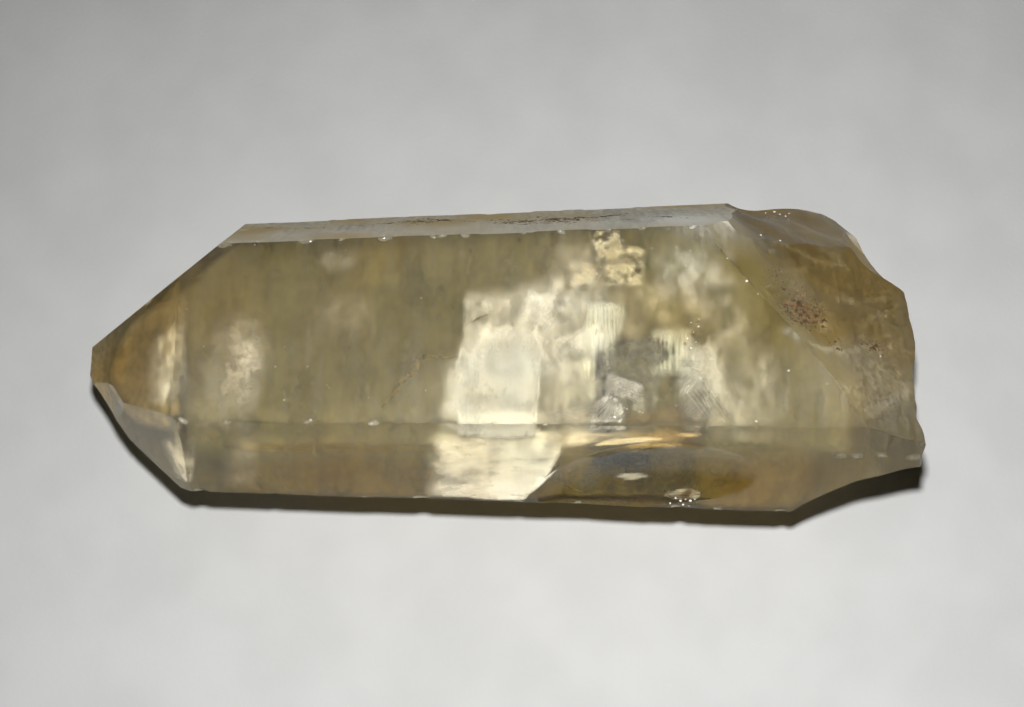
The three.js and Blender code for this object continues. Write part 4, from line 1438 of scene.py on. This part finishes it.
# %% Where bubbles and glints are
BUBBLE_SPOTS = (
    (-31.9, 1.2, 11.0), (-28.8, 2.1, 11.1), (-30, -2.7, 11.1), (-26.3, -4.5, 11.2), (-25.5, 7.9, 11.2),
    (-19.8, 8.1, 11.4), (-17, 7.9, 11.5), (-19.2, -10.3, 11.4), (-21.9, -8.2, 11.3), (23.2, -10.8, 12.3),
    (12.8, -5.8, 12.2), (-16.4, 7.2, 11.5), (-17.8, 6.8, 11.5), (-17.2, 7.5, 11.5), (-18.6, 7.3, 11.5),
)
BUBBLE_FIELDS = (  # corners from the axis, how many to a square mm
    (((-30, -10, 11), (-5, -10, 11), (-5, 8, 11), (-30, 8, 11)), 0.03),
    (((20, -9, 10.5), (31, -9, 10.5), (31, -4, 10.5), (20, -4, 10.5)), 0.12),
    (((7, -10, 11), (19, -10, 11), (19, 8, 11), (7, 8, 11)), 0.08),
)
# painted highlights: near-white grains where points of light show on the edges
GLINT_SPOTS = (  # from the axis; each is moved to the surface along the line of sight
    (16.6, -16.6, 4.6), (17.1, -16.5, 4.8), (17.6, -16.6, 4.6), (18.0, -16.5, 4.8), (16.9, -16.9, 4.2),
    (17.5, -17.0, 4.0), (15.6, -16.8, 4.3), (16.1, -16.4, 4.9), (28.3, 15.9, 0.7), (28.8, 15.5, 1.0),
    (29.3, 15.1, 1.4), (29.8, 15.6, 1.0), (27.3, 15.7, 0.9), (29.5, 14.4, 2.0), (16.9, -2.6, 13.3),
    (17.5, -2.0, 13.3), (17.7, -3.0, 13.3), (17.2, -3.6, 13.3), (18.0, -1.4, 13.3), (17.3, -1.0, 13.3),
    (-19.2, -10.4, 12.4), (21.1, 5.6, 13.4), (22.9, 3.3, 13.2), (24.0, 2.1, 12.8), (24.9, 9.0, 11.0),
    (26.9, 8.6, 10.5), (26.5, -5.8, 13.0), (23.1, -10.9, 13.3), (-25.2, 8.0, 12.2), (-19.9, 7.9, 12.4),
    (9.7, -10.4, 13.2), (36.4, -3.1, 9.0),
)
# painted highlights: near-white grains where points of light show in the cracks
INNER_GLINT_SPOTS = (
    (9.6, -8.7, 11.5), (10.7, -9.2, 11.5), (11.0, -9.3, 11.5), (12.2, -9.6, 11.5), (12.5, -9.7, 11.5),
    (7.6, -10.6, 11.9), (7.9, -10.4, 11.9), (13.4, -2.0, 11.0), (14.0, -2.3, 11.0),
)


def grain_carrier(points, faces=()):
    mesh = bpy.data.meshes.new("carrier")
    mesh.from_pydata([in_frame(point) for point in points], [], list(faces))
    return mesh


def surface_spot(place):
    """The place on the crystal that the camera sees at a point near its surface, from the axis."""
    hit, spot, _, _ = crystal.ray_cast(camera.location, in_frame(place) - camera.location)
    return spot / MM - AXIS_PLACE if hit else Vector(place)


def speck_material(name, colour, roughness):
    mat, tree, shader = new_material(name)
    tone = threshold(tree, noise(tree, 0.3, 2), 0.3, 0.7)
    duller = tuple(part * 0.85 for part in colour)
    tree.links.new(mix_colour(tree, tone, colour, duller), shader.inputs["Base Color"])
    shader.inputs["Roughness"].default_value = roughness
    shader.inputs["IOR"].default_value = VEIL_IOR
    return mat


bubble_white = speck_material("bubble_white", (0.95, 0.92, 0.82), 0.35)
glint_white = speck_material("glint_white", (0.95, 0.93, 0.88), 0.18)
grains, grain_ids = grains_tree()


def grain_piece(name, carriers, values, material):
    """Joins the grains that the tree makes on each carrier into one piece."""
    joined = bmesh.new()
    for number, (carrier, density) in enumerate(carriers, 1):
        settings = {"Scatter": density > 0, "Density": density / MM**2, "Seed": number, "Material": material}
        joined.from_mesh(run_tree("grain carrier", carrier, grains, grain_ids, {**settings, **values}))
    mesh = bpy.data.meshes.new(name)
    joined.to_mesh(mesh)
    joined.free()
    mesh.materials.append(material)
    return add_object(name, mesh)


bubbles = grain_piece(
    "bubbles",
    [(grain_carrier(BUBBLE_SPOTS), 0.0)]
    + [(grain_carrier(corners, [(0, 1, 2, 3)]), density) for corners, density in BUBBLE_FIELDS],
    {"Smallest": 0.08 * MM, "Largest": 0.30 * MM, "Tilt": 1.0}, bubble_white,
)
glints = grain_piece(
    "glints",
    [(grain_carrier([surface_spot(place) for place in GLINT_SPOTS]), 0.0),
     (grain_carrier(INNER_GLINT_SPOTS), 0.0)],
    {"Smallest": 0.13 * MM, "Largest": 0.36 * MM, "Tilt": 0.5}, glint_white,
)
print("bubbles, faces:", len(bubbles.data.polygons), "glints, faces:", len(glints.data.polygons))
inner_pieces = [*veils, *cracks, *veins, bubbles, glints]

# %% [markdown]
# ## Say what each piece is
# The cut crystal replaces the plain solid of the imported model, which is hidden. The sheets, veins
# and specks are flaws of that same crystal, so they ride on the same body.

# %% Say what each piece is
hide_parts(NODE)
for piece in (crystal, *inner_pieces):
    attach(piece, BODY)
print("pieces:", 1 + len(inner_pieces))

# %% [markdown]
# ## Studio
# The crystal lies on a plain sheet of pale paper. A small soft lamp beside the camera gives the
# narrow shadow on the near side and sends its light down through the crystal to the paper, which
# sends it back up: that is what lights a clear stone. A weak, even fill from all round keeps the
# shadow from going black.

# %% Paper, lamp and fill
PAPER_REACH = 1500.0  # mm
PAPER_PLACE = -0.1  # its height, just clear of the crystal, mm
PAPER_DULL = (0.53, 0.53, 0.52)
PAPER_BRIGHT = (0.57, 0.57, 0.56)
PAPER_GRAIN = 0.03  # mm


def paper_material():
    mat, tree, shader = new_material("paper")
    tone = threshold(tree, noise(tree, 12.0, 2), 0.3, 0.7)
    tree.links.new(mix_colour(tree, tone, PAPER_DULL, PAPER_BRIGHT), shader.inputs["Base Color"])
    shader.inputs["Roughness"].default_value = 0.9
    bump = tree.nodes.new("ShaderNodeBump")
    bump.inputs["Distance"].default_value = PAPER_GRAIN * MM
    bump.inputs["Strength"].default_value = 0.8
    link(tree, noise(tree, 0.6, 2), bump, "Height")
    tree.links.new(bump.outputs[0], shader.inputs["Normal"])
    return mat


paper_mesh = bpy.data.meshes.new("paper")
paper_mesh.from_pydata(
    [(x * PAPER_REACH * MM, y * PAPER_REACH * MM, PAPER_PLACE * MM)
     for x, y in ((-1, -1), (1, -1), (1, 1), (-1, 1))],
    [], [(0, 1, 2, 3)],
)
paper_mesh.materials.append(paper_material())
paper = add_object("paper", paper_mesh)

LAMP_PLACE = (-0.7, -33.7, 162.0)  # from the crystal's axis, mm
LAMP_AIM = (45, -72, 0)  # off to the near right, so the paper is a little darker at the far left
LAMP_WIDTH = 7.0  # mm
LAMP_POWER = 0.415  # watts
FILL = 0.004  # the strength of the even light from all round
lamp_data = bpy.data.lights.new("lamp", "AREA")
lamp_data.shape = "DISK"
lamp_data.size = LAMP_WIDTH * MM
lamp_data.energy = LAMP_POWER
look_at(add_object("lamp", lamp_data), LAMP_PLACE, LAMP_AIM)

world = bpy.data.worlds.new("studio")
world.use_nodes = True
world.node_tree.nodes["Background"].inputs["Color"].default_value = (1, 1, 1, 1)
world.node_tree.nodes["Background"].inputs["Strength"].default_value = FILL
bpy.context.scene.world = world
bpy.context.scene.view_settings.view_transform = "Standard"
